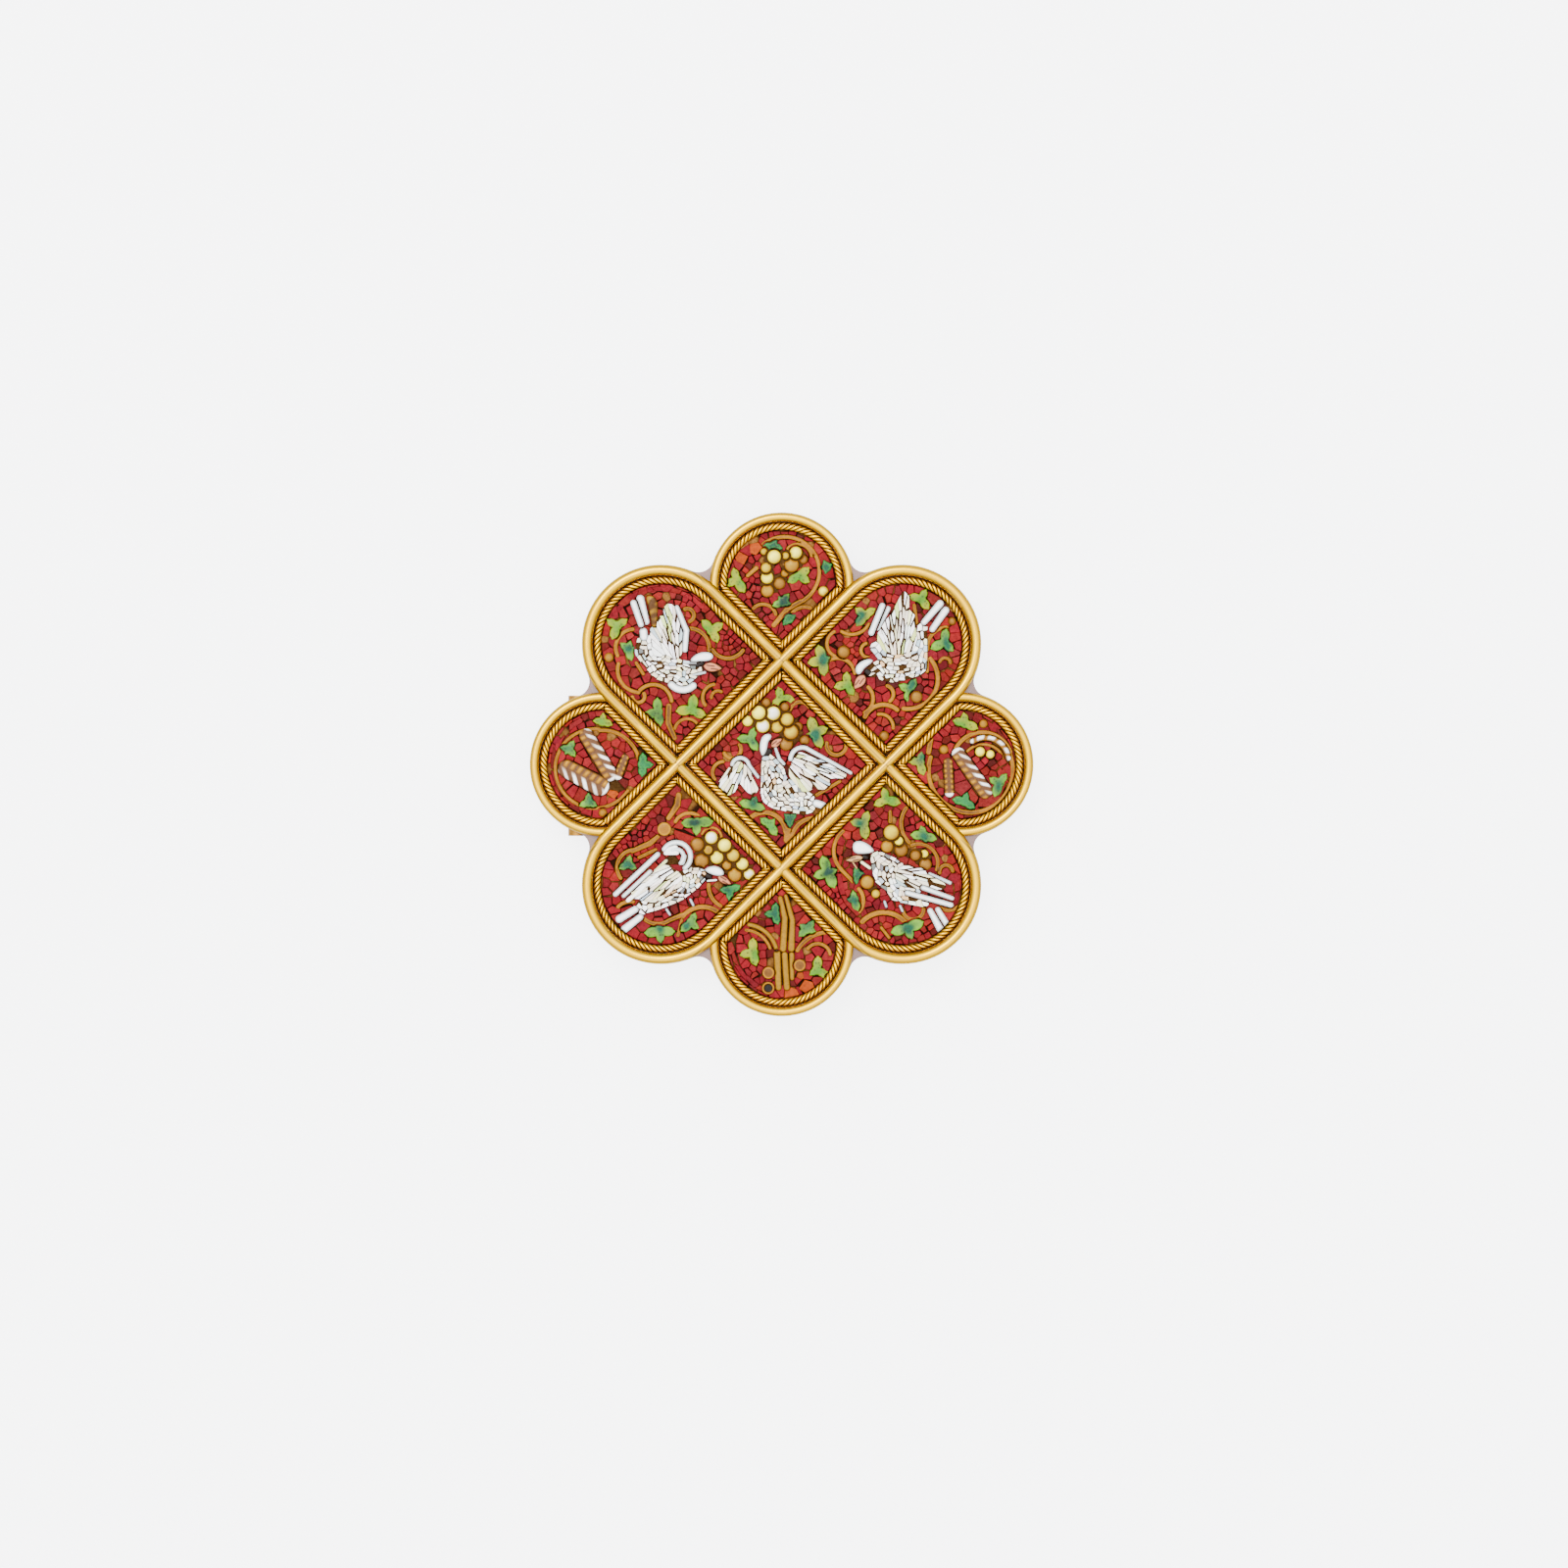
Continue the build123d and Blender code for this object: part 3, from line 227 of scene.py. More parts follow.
swell = sum_up(glass, "MULTIPLY", clouds, 0.8)
rise = sum_up(glass, "ADD", spread(glass, pits, 0.30, 0.45, 0.0, 0.6), swell)
# Grime and painted shade: by how closed in each point is, the glass is darkened to brown in its nooks, in the
# joints and round raised pieces.
nooks = spread(glass, nook_depth(glass, 0.00035), 0.35, 0.90, 0.9, 0.0)
grime_and_shade_share = sum_up(glass, "MULTIPLY", nooks, glass_in.outputs["Grime And Shade"])
grimy_and_shaded = blend_colours(glass, grime_and_shade_share, pitted, (0.34, 0.20, 0.11, 1), "MULTIPLY")
for title, source in (("Colour", grimy_and_shaded), ("Roughness", uneven), ("Height", rise)):
    glass.links.new(source, glass_out.inputs[title])
print("group:", glass.name, len(glass.nodes), "nodes")

# %% Worn gold group
worn, worn_in, worn_out = new_group(
    "worn gold",
    [("Colour", "NodeSocketColor", (1, 0.76, 0.33, 1)), ("Blush", "NodeSocketColor", (0.9, 0.55, 0.3, 1)),
     ("Patch Size", "NodeSocketFloat", 260.0), ("Scratch Size", "NodeSocketFloat", 3000.0),
     ("Polish", "NodeSocketFloat", 0.2), ("Dirt And Shade", "NodeSocketFloat", 1.0)],
    [("Colour", "NodeSocketColor"), ("Roughness", "NodeSocketFloat"), ("Height", "NodeSocketFloat"),
     ("Metal", "NodeSocketFloat")],
)
patches = noise(worn, worn_in.outputs["Patch Size"], 5.0)
scratches = noise(worn, worn_in.outputs["Scratch Size"], 2.0)
blush_share = spread(worn, patches, 0.45, 0.75, 0.0, 0.45)
warmer = blend_colours(worn, blush_share, worn_in.outputs["Colour"], worn_in.outputs["Blush"])
dull = sum_up(worn, "ADD", worn_in.outputs["Polish"], spread(worn, patches, 0.35, 0.70, -0.04, 0.14))
# Dirt and painted shade: by how closed in each point is, the gold turns dark brown and less metal in its
# corners and grooves.
corners = spread(worn, nook_depth(worn, 0.0009), 0.25, 0.74, 0.85, 0.0)
dirt_and_shade_share = sum_up(worn, "MULTIPLY", corners, worn_in.outputs["Dirt And Shade"])
soiled_and_shaded = blend_colours(worn, dirt_and_shade_share, warmer, (0.165, 0.075, 0.0030, 1))
metal = sum_up(worn, "SUBTRACT", 1.0, dirt_and_shade_share)
for title, source in (("Colour", soiled_and_shaded), ("Roughness", dull), ("Height", scratches), ("Metal", metal)):
    worn.links.new(source, worn_out.inputs[title])
print("group:", worn.name, len(worn.nodes), "nodes")


# %% Joining a group to a material
def add_group(tree, group, values):
    node = tree.nodes.new("ShaderNodeGroup")
    node.node_tree = group
    for title, value in values.items():
        node.inputs[title].default_value = value
    return node


def join_group(tree, node, bump_strength, bump_depth):
    """Feeds a group's colour, roughness and height to the material's shader."""
    shader = tree.nodes["Principled BSDF"]
    inputs = {"Height": node.outputs["Height"], "Strength": bump_strength, "Distance": bump_depth}
    bump = add_node(tree, "Bump", inputs)
    tree.links.new(node.outputs["Colour"], shader.inputs["Base Color"])
    tree.links.new(node.outputs["Roughness"], shader.inputs["Roughness"])
    tree.links.new(bump.outputs["Normal"], shader.inputs["Normal"])


# %% Glass materials
def glass_material(name, cloud_depth, polish, bump_depth, cloud_size=2200.0, gloss=0.10, grime_and_shade=0.8):
    """Opaque glass that takes its own tint from the attribute 'shade' of each piece."""
    material, tree, shader = new_material(name)
    values = {"Cloud Depth": cloud_depth, "Polish": polish, "Cloud Size": cloud_size, "Grime And Shade": grime_and_shade}
    body = add_group(tree, glass, values)
    shade = add_node(tree, "Attribute", attribute_name="shade")
    tree.links.new(shade.outputs["Color"], body.inputs["Colour"])
    join_group(tree, body, 0.6, bump_depth)
    shader.inputs["Specular IOR Level"].default_value = gloss
    return material


white_glass = glass_material("white glass", 0.12, 0.34, 0.00003, grime_and_shade=0.45)
red_glass = glass_material("red glass", 0.55, 0.42, 0.00004, 3000.0, 0.05)
green_glass = glass_material("green glass", 0.35, 0.36, 0.00003)
thread_glass = glass_material("thread glass", 0.40, 0.36, 0.00003, 3500.0)
fruit_glass = glass_material("fruit glass", 0.25, 0.30, 0.00002)
pod_glass = glass_material("pod glass", 0.30, 0.36, 0.00003)
mastic_wax = glass_material("mastic", 0.50, 0.75, 0.00008, 5000.0, 0.03)
print("materials:", len(bpy.data.materials))


# %% Gold of the case and the pin
def gold_material(name, colour, blush, polish, patch_size):
    material, tree, shader = new_material(name)
    values = {"Colour": (*colour, 1), "Blush": (*blush, 1), "Polish": polish, "Patch Size": patch_size}
    body = add_group(tree, worn, values)
    join_group(tree, body, 0.12, 0.00002)
    tree.links.new(body.outputs["Metal"], shader.inputs["Metallic"])
    return material


def paint_over(material, share, colour):
    """Blends the material's gold into the colour by the share."""
    tree = material.node_tree
    base = tree.nodes["Principled BSDF"].inputs["Base Color"]
    tree.links.new(blend_colours(tree, share, base.links[0].from_socket, (*colour, 1)), base)


def paint_shelf_shade(material, shelf_height, colour):
    """Paints shade with a dim mauve reflection over the flat shelf between the cells, by its height and the
    way it faces.
    """
    tree = material.node_tree
    place = add_node(tree, "TexCoord")
    height = add_node(tree, "SeparateXYZ", {"Vector": place.outputs["Object"]}).outputs["Z"]
    facing = add_node(tree, "SeparateXYZ", {"Vector": place.outputs["Normal"]}).outputs["Z"]
    level = spread(tree, height, shelf_height + 0.00004, shelf_height + 0.00016, 1.0, 0.0)
    flat = spread(tree, facing, 0.80, 0.96, 0.0, 1.0)
    paint_over(material, sum_up(tree, "MULTIPLY", level, flat), colour)


def crest_lines(material, line_at, colour):
    """Fine dark lines along the crests of the long bands, broken here and there."""
    tree = material.node_tree
    place = add_node(tree, "TexCoord").outputs["Object"]
    turn = {"Vector": place, "Angle": math.radians(45)}
    across = add_node(tree, "VectorRotate", turn, rotation_type="Z_AXIS").outputs["Vector"]
    parts = add_node(tree, "SeparateXYZ", {"Vector": across})
    breaks = add_node(tree, "TexNoise", {"Vector": place, "Scale": 420.0}).outputs["Fac"]
    lines = []
    for side in ("X", "Y"):
        out = sum_up(tree, "ABSOLUTE", parts.outputs[side])
        off = sum_up(tree, "ABSOLUTE", sum_up(tree, "SUBTRACT", out, line_at))
        lines.append(spread(tree, off, 0.00004, 0.00012, 1.0, 0.0))
    either = sum_up(tree, "MAXIMUM", *lines)
    line_showing = spread(tree, breaks, 0.38, 0.52, 0.0, 0.9)
    paint_over(material, sum_up(tree, "MULTIPLY", either, line_showing), colour)


case_gold = gold_material("case gold", (0.540, 0.308, 0.0002), (0.480, 0.250, 0.0002), 0.25, 260.0)
crest_lines(case_gold, 0.006705, (0.20, 0.115, 0.020))
paint_shelf_shade(case_gold, 0.0058, (0.105, 0.068, 0.062))
pin_gold = gold_material("pin gold", (0.42, 0.200, 0.025), (0.20, 0.095, 0.020), 0.32, 600.0)
print("gold:", case_gold.name, "and", pin_gold.name)

# %% [markdown]
# ## Case and pin
# The case is soldered from gold sheet and half-round wire. The solid model already has its true
# shape, so the case and the pin fitting on the back stay as they are and only take the gold, and
# the beds of mastic under the glass take the mastic.

# %% Gold and mastic on the solid model's pieces
finishes = {"case": case_gold, "pin_fitting": pin_gold}
for node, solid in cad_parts.items():
    if node in finishes or node.startswith("cement"):
        solid.data.materials.clear()
        solid.data.materials.append(finishes.get(node, mastic_wax))

# %% [markdown]
# ## Plan of the nine cells
# A long cell runs at 45 degrees each way, cut in three by the bands, and four round petals stand
# between the arms. A cell's sides are worked out from the same few sizes as the case's, at any
# distance from the gold, for the wires, the mastic and the glass alike. Millimetres are used
# up to the last step, where a finished piece is scaled to metres.

# %% Cell sides
cell_half = 6.25
band_outside = 7.20
lobe_reach = 11.0 * math.sqrt(2)
petal_out = band_outside * math.sqrt(2) + 6.22
petal_radius = 5.75
lobe_turns = {"northeast": 45, "northwest": 135, "southwest": 225, "southeast": 315}
petal_turns = {"east": 0, "north": 90, "west": 180, "south": 270}
cells = ["centre", *lobe_turns, *petal_turns]
cell_places = {"centre": np.array([0.0, 0.0])}
for reach, turns in ((lobe_reach, lobe_turns), (petal_out, petal_turns)):
    for cell, turn in turns.items():
        way = np.array([math.cos(math.radians(turn)), math.sin(math.radians(turn))])
        cell_places[cell] = reach * way


def turned(points, turn):
    c, s = math.cos(math.radians(turn)), math.sin(math.radians(turn))
    return np.asarray(points, float) @ np.array([[c, s], [-s, c]])


def arc(middle, radius, start, end):
    """Points along an arc, about 0.15 mm apart. Turns in degrees."""
    count = max(3, int(abs(math.radians(end - start)) * radius / 0.15))
    turns = np.radians(np.linspace(start, end, count + 1))
    return np.array(middle) + radius * np.stack([np.cos(turns), np.sin(turns)], 1)


def cell_sides(cell, inset):
    """The sides of a cell, counterclockwise, each a line of points from corner to corner."""
    half = cell_half - inset
    near = band_outside + inset
    if cell == "centre":
        corners = [(half, -half), (half, half), (-half, half), (-half, -half)]
        return [turned([corners[i], corners[(i + 1) % 4]], 45) for i in range(4)]
    if cell in lobe_turns:
        cap = arc((lobe_reach, 0), half, -90, 90)
        long_side = np.concatenate([[(near, -half)], cap, [(near, half)]])
        short_side = [(near, half), (near, -half)]
        return [turned(long_side, lobe_turns[cell]), turned(short_side, lobe_turns[cell])]
    radius = petal_radius - inset
    corner = near * math.sqrt(2)
    reach = petal_out - corner
    out = (reach + math.sqrt(2 * radius**2 - reach**2)) / 2
    half_turn = math.degrees(math.atan2(out, corner + out - petal_out))
    cap = arc((petal_out, 0), radius, -half_turn, half_turn)
    sides = [[(corner, 0), (corner + out, -out)], cap, [(corner + out, out), (corner, 0)]]
    return [turned(side, petal_turns[cell]) for side in sides]


def cell_outline(cell, inset):
    return np.concatenate([side[:-1] for side in cell_sides(cell, inset)])


print("cells:", ", ".join(cells))


# %% [markdown]
# ## From chips to pieces
# A cell holds hundreds of glass chips. Placing each by hand would be right in a workshop and
# hopeless here, so a batch collects the chips of one kind as arrays and turns them into one mesh.
# Every point keeps the tint of its chip in the attribute "shade", which the glass reads.

# %% A batch of chips
class Batch:
    def __init__(self):
        self.points = []
        self.faces = []
        self.shades = []
        self.smooth = []
        self.count = 0

    def add(self, points, faces, shade, smooth=True):
        """Adds one chip: points in mm, faces as lists of their numbers, a tint for each point."""
        points = np.asarray(points, float)
        self.points.append(points)
        self.shades.append(np.broadcast_to(np.asarray(shade, float), (len(points), 3)))
        self.faces.extend([[number + self.count for number in face] for face in faces])
        self.smooth.extend([smooth] * len(faces))
        self.count += len(points)

    def piece(self, name, material, slot, *nodes):
        """Makes the batch one object in metres, on the brooch's body, in place of its nodes."""
        mesh = bpy.data.meshes.new(name)
        mesh.from_pydata((np.concatenate(self.points) / 1000).tolist(), [], self.faces)
        mesh.polygons.foreach_set("use_smooth", self.smooth)
        shade = mesh.attributes.new("shade", "FLOAT_COLOR", "POINT")
        colours = np.ones((self.count, 4))
        colours[:, :3] = np.concatenate(self.shades)
        shade.data.foreach_set("color", colours.ravel())
        mesh.materials.append(material)
        mesh.validate()
        piece = bpy.data.objects.new(name, mesh)
        bpy.context.scene.collection.objects.link(piece)
        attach(piece, "root")
        if nodes:
            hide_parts(*nodes)
        print(name, len(mesh.polygons), "faces")


# %% [markdown]
# ## Twisted wire borders
# Each cell is edged with fine gold wires wound round each other. A screw modifier or a curve with
# an array could make the twist, but neither can end in a clean mitre. Here each wire is a tube
# swept along a helix round the side's own line, and every point past the mitre is drawn back to
# it. The wires of the lobes are wound one way and the others the opposite way.

# %% Wires round a line
rope_inset = 0.42
rope_height = 5.56
wires_in_rope = 4
wire_radius = 0.155
wire_orbit = 0.385 - wire_radius
rope_lay = 1.90
wire_sides = 8
rope_gap = 0.11


def unit(rows):
    """Each row brought to length 1."""
    return rows / np.maximum(np.linalg.norm(rows, axis=-1, keepdims=True), 1e-9)


def left_of(ways):
    return np.stack([-ways[..., 1], ways[..., 0]], -1)


def run_lengths(line):
    """How far along the line each of its points lies."""
    return np.concatenate([[0], np.cumsum(np.linalg.norm(np.diff(line, axis=0), axis=1))])


def even_line(line):
    """The same line with points an even gap apart, and the way it runs at each."""
    gone = run_lengths(line)
    at = np.linspace(0, gone[-1], max(3, round(gone[-1] / rope_gap)))
    places = np.stack([np.interp(at, gone, line[:, 0]), np.interp(at, gone, line[:, 1])], 1)
    return places, unit(np.gradient(places, axis=0))


def wind_wire(line, ways, hand, start):
    """Rings of points of one wire that winds round the line. Hand 1 is right-handed."""
    turn = start + hand * 2 * math.pi * run_lengths(line) / rope_lay
    flat = np.zeros(len(line))
    left = np.column_stack([left_of(ways), flat])
    up = np.array([0.0, 0.0, 1.0])
    out = np.cos(turn)[:, None] * left + np.sin(turn)[:, None] * up
    onward = -np.sin(turn)[:, None] * left + np.cos(turn)[:, None] * up
    forward = np.column_stack([ways, flat]) + hand * 2 * math.pi * wire_orbit / rope_lay * onward
    across = np.cross(unit(forward), out)
    middle = np.column_stack([line, flat + rope_height]) + wire_orbit * out
    angles = 2 * math.pi * np.arange(wire_sides) / wire_sides
    rings = [wire_radius * (math.cos(a) * out + math.sin(a) * across) + middle for a in angles]
    return np.stack(rings, 1)


def mitre(rings, corner, way, limit_way):
    """Draws the points past the mitre plane back along the rope's way, onto the plane."""
    past = (rings[..., :2] - corner) @ limit_way
    back = np.clip(past + 0.015, 0, None) / (way @ limit_way)
    rings[..., :2] -= back[..., None] * way
    return rings


# %% One side's rope
mitre_reach = 0.45
mitre_points = 4
end_rings = 16


def tube_faces(count):
    """The faces of a tube of so many rings, with both ends closed."""
    faces = []
    for i in range(count - 1):
        low, high = i * wire_sides, (i + 1) * wire_sides
        for j in range(wire_sides):
            k = (j + 1) % wire_sides
            faces.append([low + j, low + k, high + k, high + j])
    faces.append(list(range(wire_sides - 1, -1, -1)))
    faces.append(list(range((count - 1) * wire_sides, count * wire_sides)))
    return faces


def rope_side(batch, side, before, after, hand, start):
    """Winds one side's wires. Before and after are the ways of the sides that meet it."""
    line, ways = even_line(side)
    first_way, last_way = ways[0], ways[-1]
    head = line[0] - first_way * np.linspace(mitre_reach, rope_gap, mitre_points)[:, None]
    tail = line[-1] + last_way * np.linspace(rope_gap, mitre_reach, mitre_points)[:, None]
    long_line = np.concatenate([head, line, tail])
    long_ways = np.pad(ways, ((mitre_points, mitre_points), (0, 0)), mode="edge")
    first_limit = unit(-(first_way + before))
    last_limit = unit(last_way + after)
    for wire in range(wires_in_rope):
        rings = wind_wire(long_line, long_ways, hand, start + 2 * math.pi * wire / wires_in_rope)
        aside = np.linalg.norm(rings[..., :2] - long_line[:, None], axis=2)
        depth = np.sqrt(aside ** 2 + (rings[..., 2] - rope_height) ** 2)
        rings[:end_rings] = mitre(rings[:end_rings], line[0], -first_way, first_limit)
        rings[-end_rings:] = mitre(rings[-end_rings:], line[-1], last_way, last_limit)
        points = rings.reshape(-1, 3)
        # Dirt and painted shade: each wire is darker deep in the twist, and darker on its underside below the
        # rope's middle.
        low = np.clip((rope_height - points[:, 2]) / 0.30, 0, 1)
        crevice_dirt_and_shade = np.clip((0.365 - depth.ravel()) / 0.08, 0, 1)
        shade = np.stack([np.maximum(crevice_dirt_and_shade, low * 0.6)] * 3, 1)
        batch.add(points, tube_faces(len(rings)), shade)


# %% Borders of all cells
rope_gold, rope_tree, rope_shader = new_material("rope gold")
rope_body = add_group(rope_tree, worn, {
    "Colour": (0.64, 0.345, 0.0002, 1), "Blush": (0.56, 0.270, 0.0002, 1), "Polish": 0.18,
    "Patch Size": 1500.0, "Dirt And Shade": 0.35,
})
join_group(rope_tree, rope_body, 0.10, 0.00001)
# The attribute's dirt and painted shade darken the rope's gold towards dark brown.
rope_dirt_and_shade = add_node(rope_tree, "Attribute", attribute_name="shade")
paint_over(rope_gold, rope_dirt_and_shade.outputs["Fac"], (0.055, 0.016, 0.0006))
rope_shader.inputs["Metallic"].default_value = 1.0

for cell in cells:
    hand = 1 if cell in lobe_turns else -1
    batch = Batch()
    sides = cell_sides(cell, rope_inset)
    ends = [even_line(side)[1] for side in sides]
    for number, side in enumerate(sides):
        before = ends[number - 1][-1]
        after = ends[(number + 1) % len(sides)][0]
        rope_side(batch, side, before, after, hand, 0.7 * number)
    batch.piece("rope_wires_" + cell, rope_gold, "gold_rope", "rope_" + cell)


# %% [markdown]
# ## Outlines from the solid model
# The solid model has each motif as a flat block. Its top face gives the outline of the glass
# piece, so the pieces made here lie where the model has them. Edges that only one top triangle
# uses are the outline, and chaining them gives closed loops, of which the outer ones are kept.

# %% Read the outlines
def signed_area(loop):
    ahead = np.roll(loop, -1, axis=0)
    return 0.5 * float(np.sum(loop[:, 0] * ahead[:, 1] - ahead[:, 0] * loop[:, 1]))


def node_outlines(node):
    """The top faces of a node as (height, outer loop), in millimetres."""
    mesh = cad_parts[node].data
    places = np.empty(len(mesh.vertices) * 3)
    mesh.vertices.foreach_get("co", places)
    corners = np.empty(len(mesh.loops), dtype=int)
    mesh.loops.foreach_get("vertex_index", corners)
    points, index = np.unique(np.round(places.reshape(-1, 3) * 1000, 3), axis=0, return_inverse=True)
    triangles = index.ravel()[corners].reshape(-1, 3)
    one, two, three = (points[triangles[:, i]] for i in range(3))
    up = np.cross(two - one, three - one)[:, 2] > 1e-6
    level = (one[:, 2] == two[:, 2]) & (two[:, 2] == three[:, 2]) & up & (one[:, 2] > 5.1)
    edges = dict.fromkeys(pair for a, b, c in triangles[level] for pair in ((a, b), (b, c), (c, a)))
    onward = {}
    for a, b in edges:
        if (b, a) not in edges:
            onward.setdefault(a, []).append(b)
    found = []
    while onward:
        start = next(iter(onward))
        chain = [start]
        while True:
            here = chain[-1]
            ahead = onward[here].pop()
            if not onward[here]:
                del onward[here]
            if ahead == start:
                break
            chain.append(ahead)
        loop = points[chain]
        if signed_area(loop[:, :2]) > 0:
            found.append((float(loop[0, 2]), loop[:, :2]))
    return found


motifs = {}
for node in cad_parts:
    kind, _, cell = node.rpartition("_")
    if kind in ("dove", "fruit", "pods", "leaves", "vine"):
        motifs.setdefault(cell, {})[kind] = node_outlines(node)
for cell in cells:
    print(cell, {kind: len(found) for kind, found in motifs[cell].items()})


# %% Distances and insides
def refined(loop, gap):
    """The loop with extra points, so that none of its steps is longer than the gap."""
    rows = []
    for here, ahead in zip(loop, np.roll(loop, -1, axis=0)):
        count = max(1, math.ceil(np.linalg.norm(ahead - here) / gap))
        rows.append(here + (ahead - here) * np.linspace(0, 1, count, endpoint=False)[:, None])
    return np.concatenate(rows)


def nearest_edge(points, loop):
    """For each point, how far it is from the loop and which way the nearest edge runs."""
    way = np.roll(loop, -1, axis=0) - loop
    length = np.maximum(np.sum(way**2, axis=1), 1e-12)
    far = np.empty(len(points))
    run = np.empty((len(points), 2))
    at_once = 4000
    for low in range(0, len(points), at_once):
        part = points[low:low + at_once]
        share = np.clip(np.sum((part[:, None] - loop) * way, axis=2) / length, 0, 1)
        apart = np.linalg.norm(part[:, None] - loop - share[..., None] * way, axis=2)
        pick = apart.argmin(axis=1)
        far[low:low + at_once] = apart[np.arange(len(part)), pick]
        run[low:low + at_once] = way[pick] / np.sqrt(length[pick])[:, None]
    return far, run


def inside(points, loop):
    x, y = points[:, 0], points[:, 1]
    odd = np.zeros(len(points), dtype=bool)
    for (x1, y1), (x2, y2) in zip(loop, np.roll(loop, -1, axis=0)):
        if y1 != y2:
            crossing = ((y1 > y) != (y2 > y)) & (x < (x2 - x1) * (y - y1) / (y2 - y1) + x1)
            odd ^= crossing
    return odd


def keep_clear(points, loop, gap):
    """True for the points that lie outside the loop by more than the gap."""
    clear = np.ones(len(points), dtype=bool)
    low, high = loop.min(axis=0) - gap, loop.max(axis=0) + gap
    close = np.all((points > low) & (points < high), axis=1)
    if close.any():
        here = points[close]
        clear[close] = ~inside(here, loop) & (nearest_edge(here, loop)[0] > gap)
    return clear


def grid_inside(loop, gap, margin=0.0):
    """A grid of points inside the loop, every other row shifted by half a step."""
    low, high = loop.min(axis=0), loop.max(axis=0)
    row_share = 0.87
    xs = np.arange(low[0] + gap / 2, high[0], gap)
    ys = np.arange(low[1] + gap / 2, high[1], gap * row_share)
    x, y = np.meshgrid(xs, ys)
    x[1::2] += gap / 2
    points = np.stack([x.ravel(), y.ravel()], 1)
    points = points[inside(points, loop)]
    if margin and len(points):
        points = points[nearest_edge(points, loop)[0] > margin]
    return points


# %% [markdown]
# ## Points on the leaves
# The solid model's leaves have round lobes. The real ones were pinched to points while the glass
# was hot, so each lobe's end is drawn out a little here and its shoulders are drawn in. The ears
# and pods are made a little larger, because the glass swells over its block.

# %% Draw the leaf tips out
def pointed(loop, reach):
    """The leaf's outline with the round end of each lobe drawn out to a point."""
    fine_gap = 0.05
    fine = refined(loop, fine_gap)
    offset = fine - fine.mean(axis=0)
    far = np.linalg.norm(offset, axis=1)
    count = len(fine)
    moved = fine.copy()
    for tip in range(count):
        near = far[(tip + np.arange(-9, 10)) % count]
        if far[tip] < near.max() or far[tip] < 0.6 * far.max():
            continue
        way = offset[tip] / far[tip]
        steps = np.arange(-12, 13)
        along = np.abs(steps) * fine_gap
        out = reach * np.exp(-(along / 0.16) ** 2)
        narrow = 0.040 * np.exp(-((along - 0.32) / 0.12) ** 2) * np.sign(steps)
        moved[(tip + steps) % count] += out[:, None] * way - narrow[:, None] * left_of(way)
    return moved


def stretched(loop, by):
    middle = loop.mean(axis=0)
    return middle + (loop - middle) * by


leaf_tip = 0.09
large_ear_area = 3.0
for cell in cells:
    found = motifs[cell]
    found["leaves"] = [(height, pointed(loop, leaf_tip)) for height, loop in found["leaves"]]
    found["pods"] = [
        (height, stretched(loop, 1.14 if signed_area(loop) > large_ear_area else 1.06))
        for height, loop in found.get("pods", [])
    ]
print("leaves with points:", sum(len(motifs[cell]["leaves"]) for cell in cells))


# %% [markdown]
# ## Pillow-shaped pieces
# Leaves, stems, quills and fruit are single pieces of glass, melted or ground to a soft edge. A
# block with a bevel would give the edge but no crown. Here the outline is filled with a fine
# triangle mesh, and each point's height comes from its distance to the edge, so the same few
# lines make a rounded thread, a domed grape or a flat quill. The sides go straight down.

# %% Forms of the glass
# For each form: the height of its top, the rounding of its edge, its crown and its mesh gap, in mm.
forms = {
    "quill": (5.96, 0.15, 0.05, 0.08), "beak": (5.98, 0.12, 0.06, 0.05),
    "feather": (5.93, 0.10, 0.04, 0.08), "eye": (5.80, 0.12, 0.04, 0.06),
    "bill": (5.84, 0.08, 0.02, 0.06), "leg": (5.80, 0.08, 0.02, 0.06),
    "leaf": (5.75, 0.12, 0.05, 0.10), "thread": (5.74, 0.15, 0.0, 0.07),
    "trunk": (5.80, 0.22, 0.06, 0.07), "block": (5.80, 0.12, 0.04, 0.06),
    "berry": (5.86, 0.22, 0.10, 0.12), "ring": (5.84, 0.10, 0.02, 0.07),
    "fruit": (5.88, 0.16, 0.10, 0.08), "ear": (5.86, 0.20, 0.08, 0.06),
    "mastic": (5.30, 0.02, 0.0, 0.16),
}
glass_foot = 5.20
# These heights tell what a block of the solid model stands for.
smooth_above = 5.94
wings_above = 5.87
berries_above = 5.75
print(len(forms), "forms of glass on a foot at", glass_foot, "mm")

# %% Build a pillow
ring_shares = (0.25, 0.65)
wall_painted_shade = 0.35


def cross(one, two):
    return one[..., 0] * two[..., 1] - one[..., 1] * two[..., 0]


def filled(loop, edge, gap, rounding):
    """Points and triangles that fill the loop, with rings of points where the edge is rounded."""
    inward = left_of(unit(np.roll(edge, -1, axis=0) - np.roll(edge, 1, axis=0)))
    rings = [edge]
    for share in ring_shares:
        ring = edge + inward * rounding * share
        rings.append(ring[inside(ring, loop) & (nearest_edge(ring, loop)[0] > rounding * share * 0.85)])
    rings.append(grid_inside(loop, gap, rounding * 0.95))
    borders = [(i, (i + 1) % len(edge)) for i in range(len(edge))]
    made = delaunay_2d_cdt([tuple(p) for p in np.concatenate(rings)], borders, [], 0, 1e-5, False)
    plan = np.array([tuple(v) for v in made[0]])
    triangles = np.array([face for face in made[2] if len(face) == 3])
    triangles = triangles[inside(plan[triangles].mean(axis=1), loop)]
    one, two, three = (plan[triangles[:, i]] for i in range(3))
    under = cross(two - one, three - one) < 0
    triangles[under] = triangles[under][:, ::-1]
    return plan, triangles


def round_over(far, reach):
    """The rise of a quarter round, from 0 at the edge to 1 at the reach."""
    return np.sqrt(np.clip(1 - (1 - np.clip(far / reach, 0, 1)) ** 2, 0, 1))


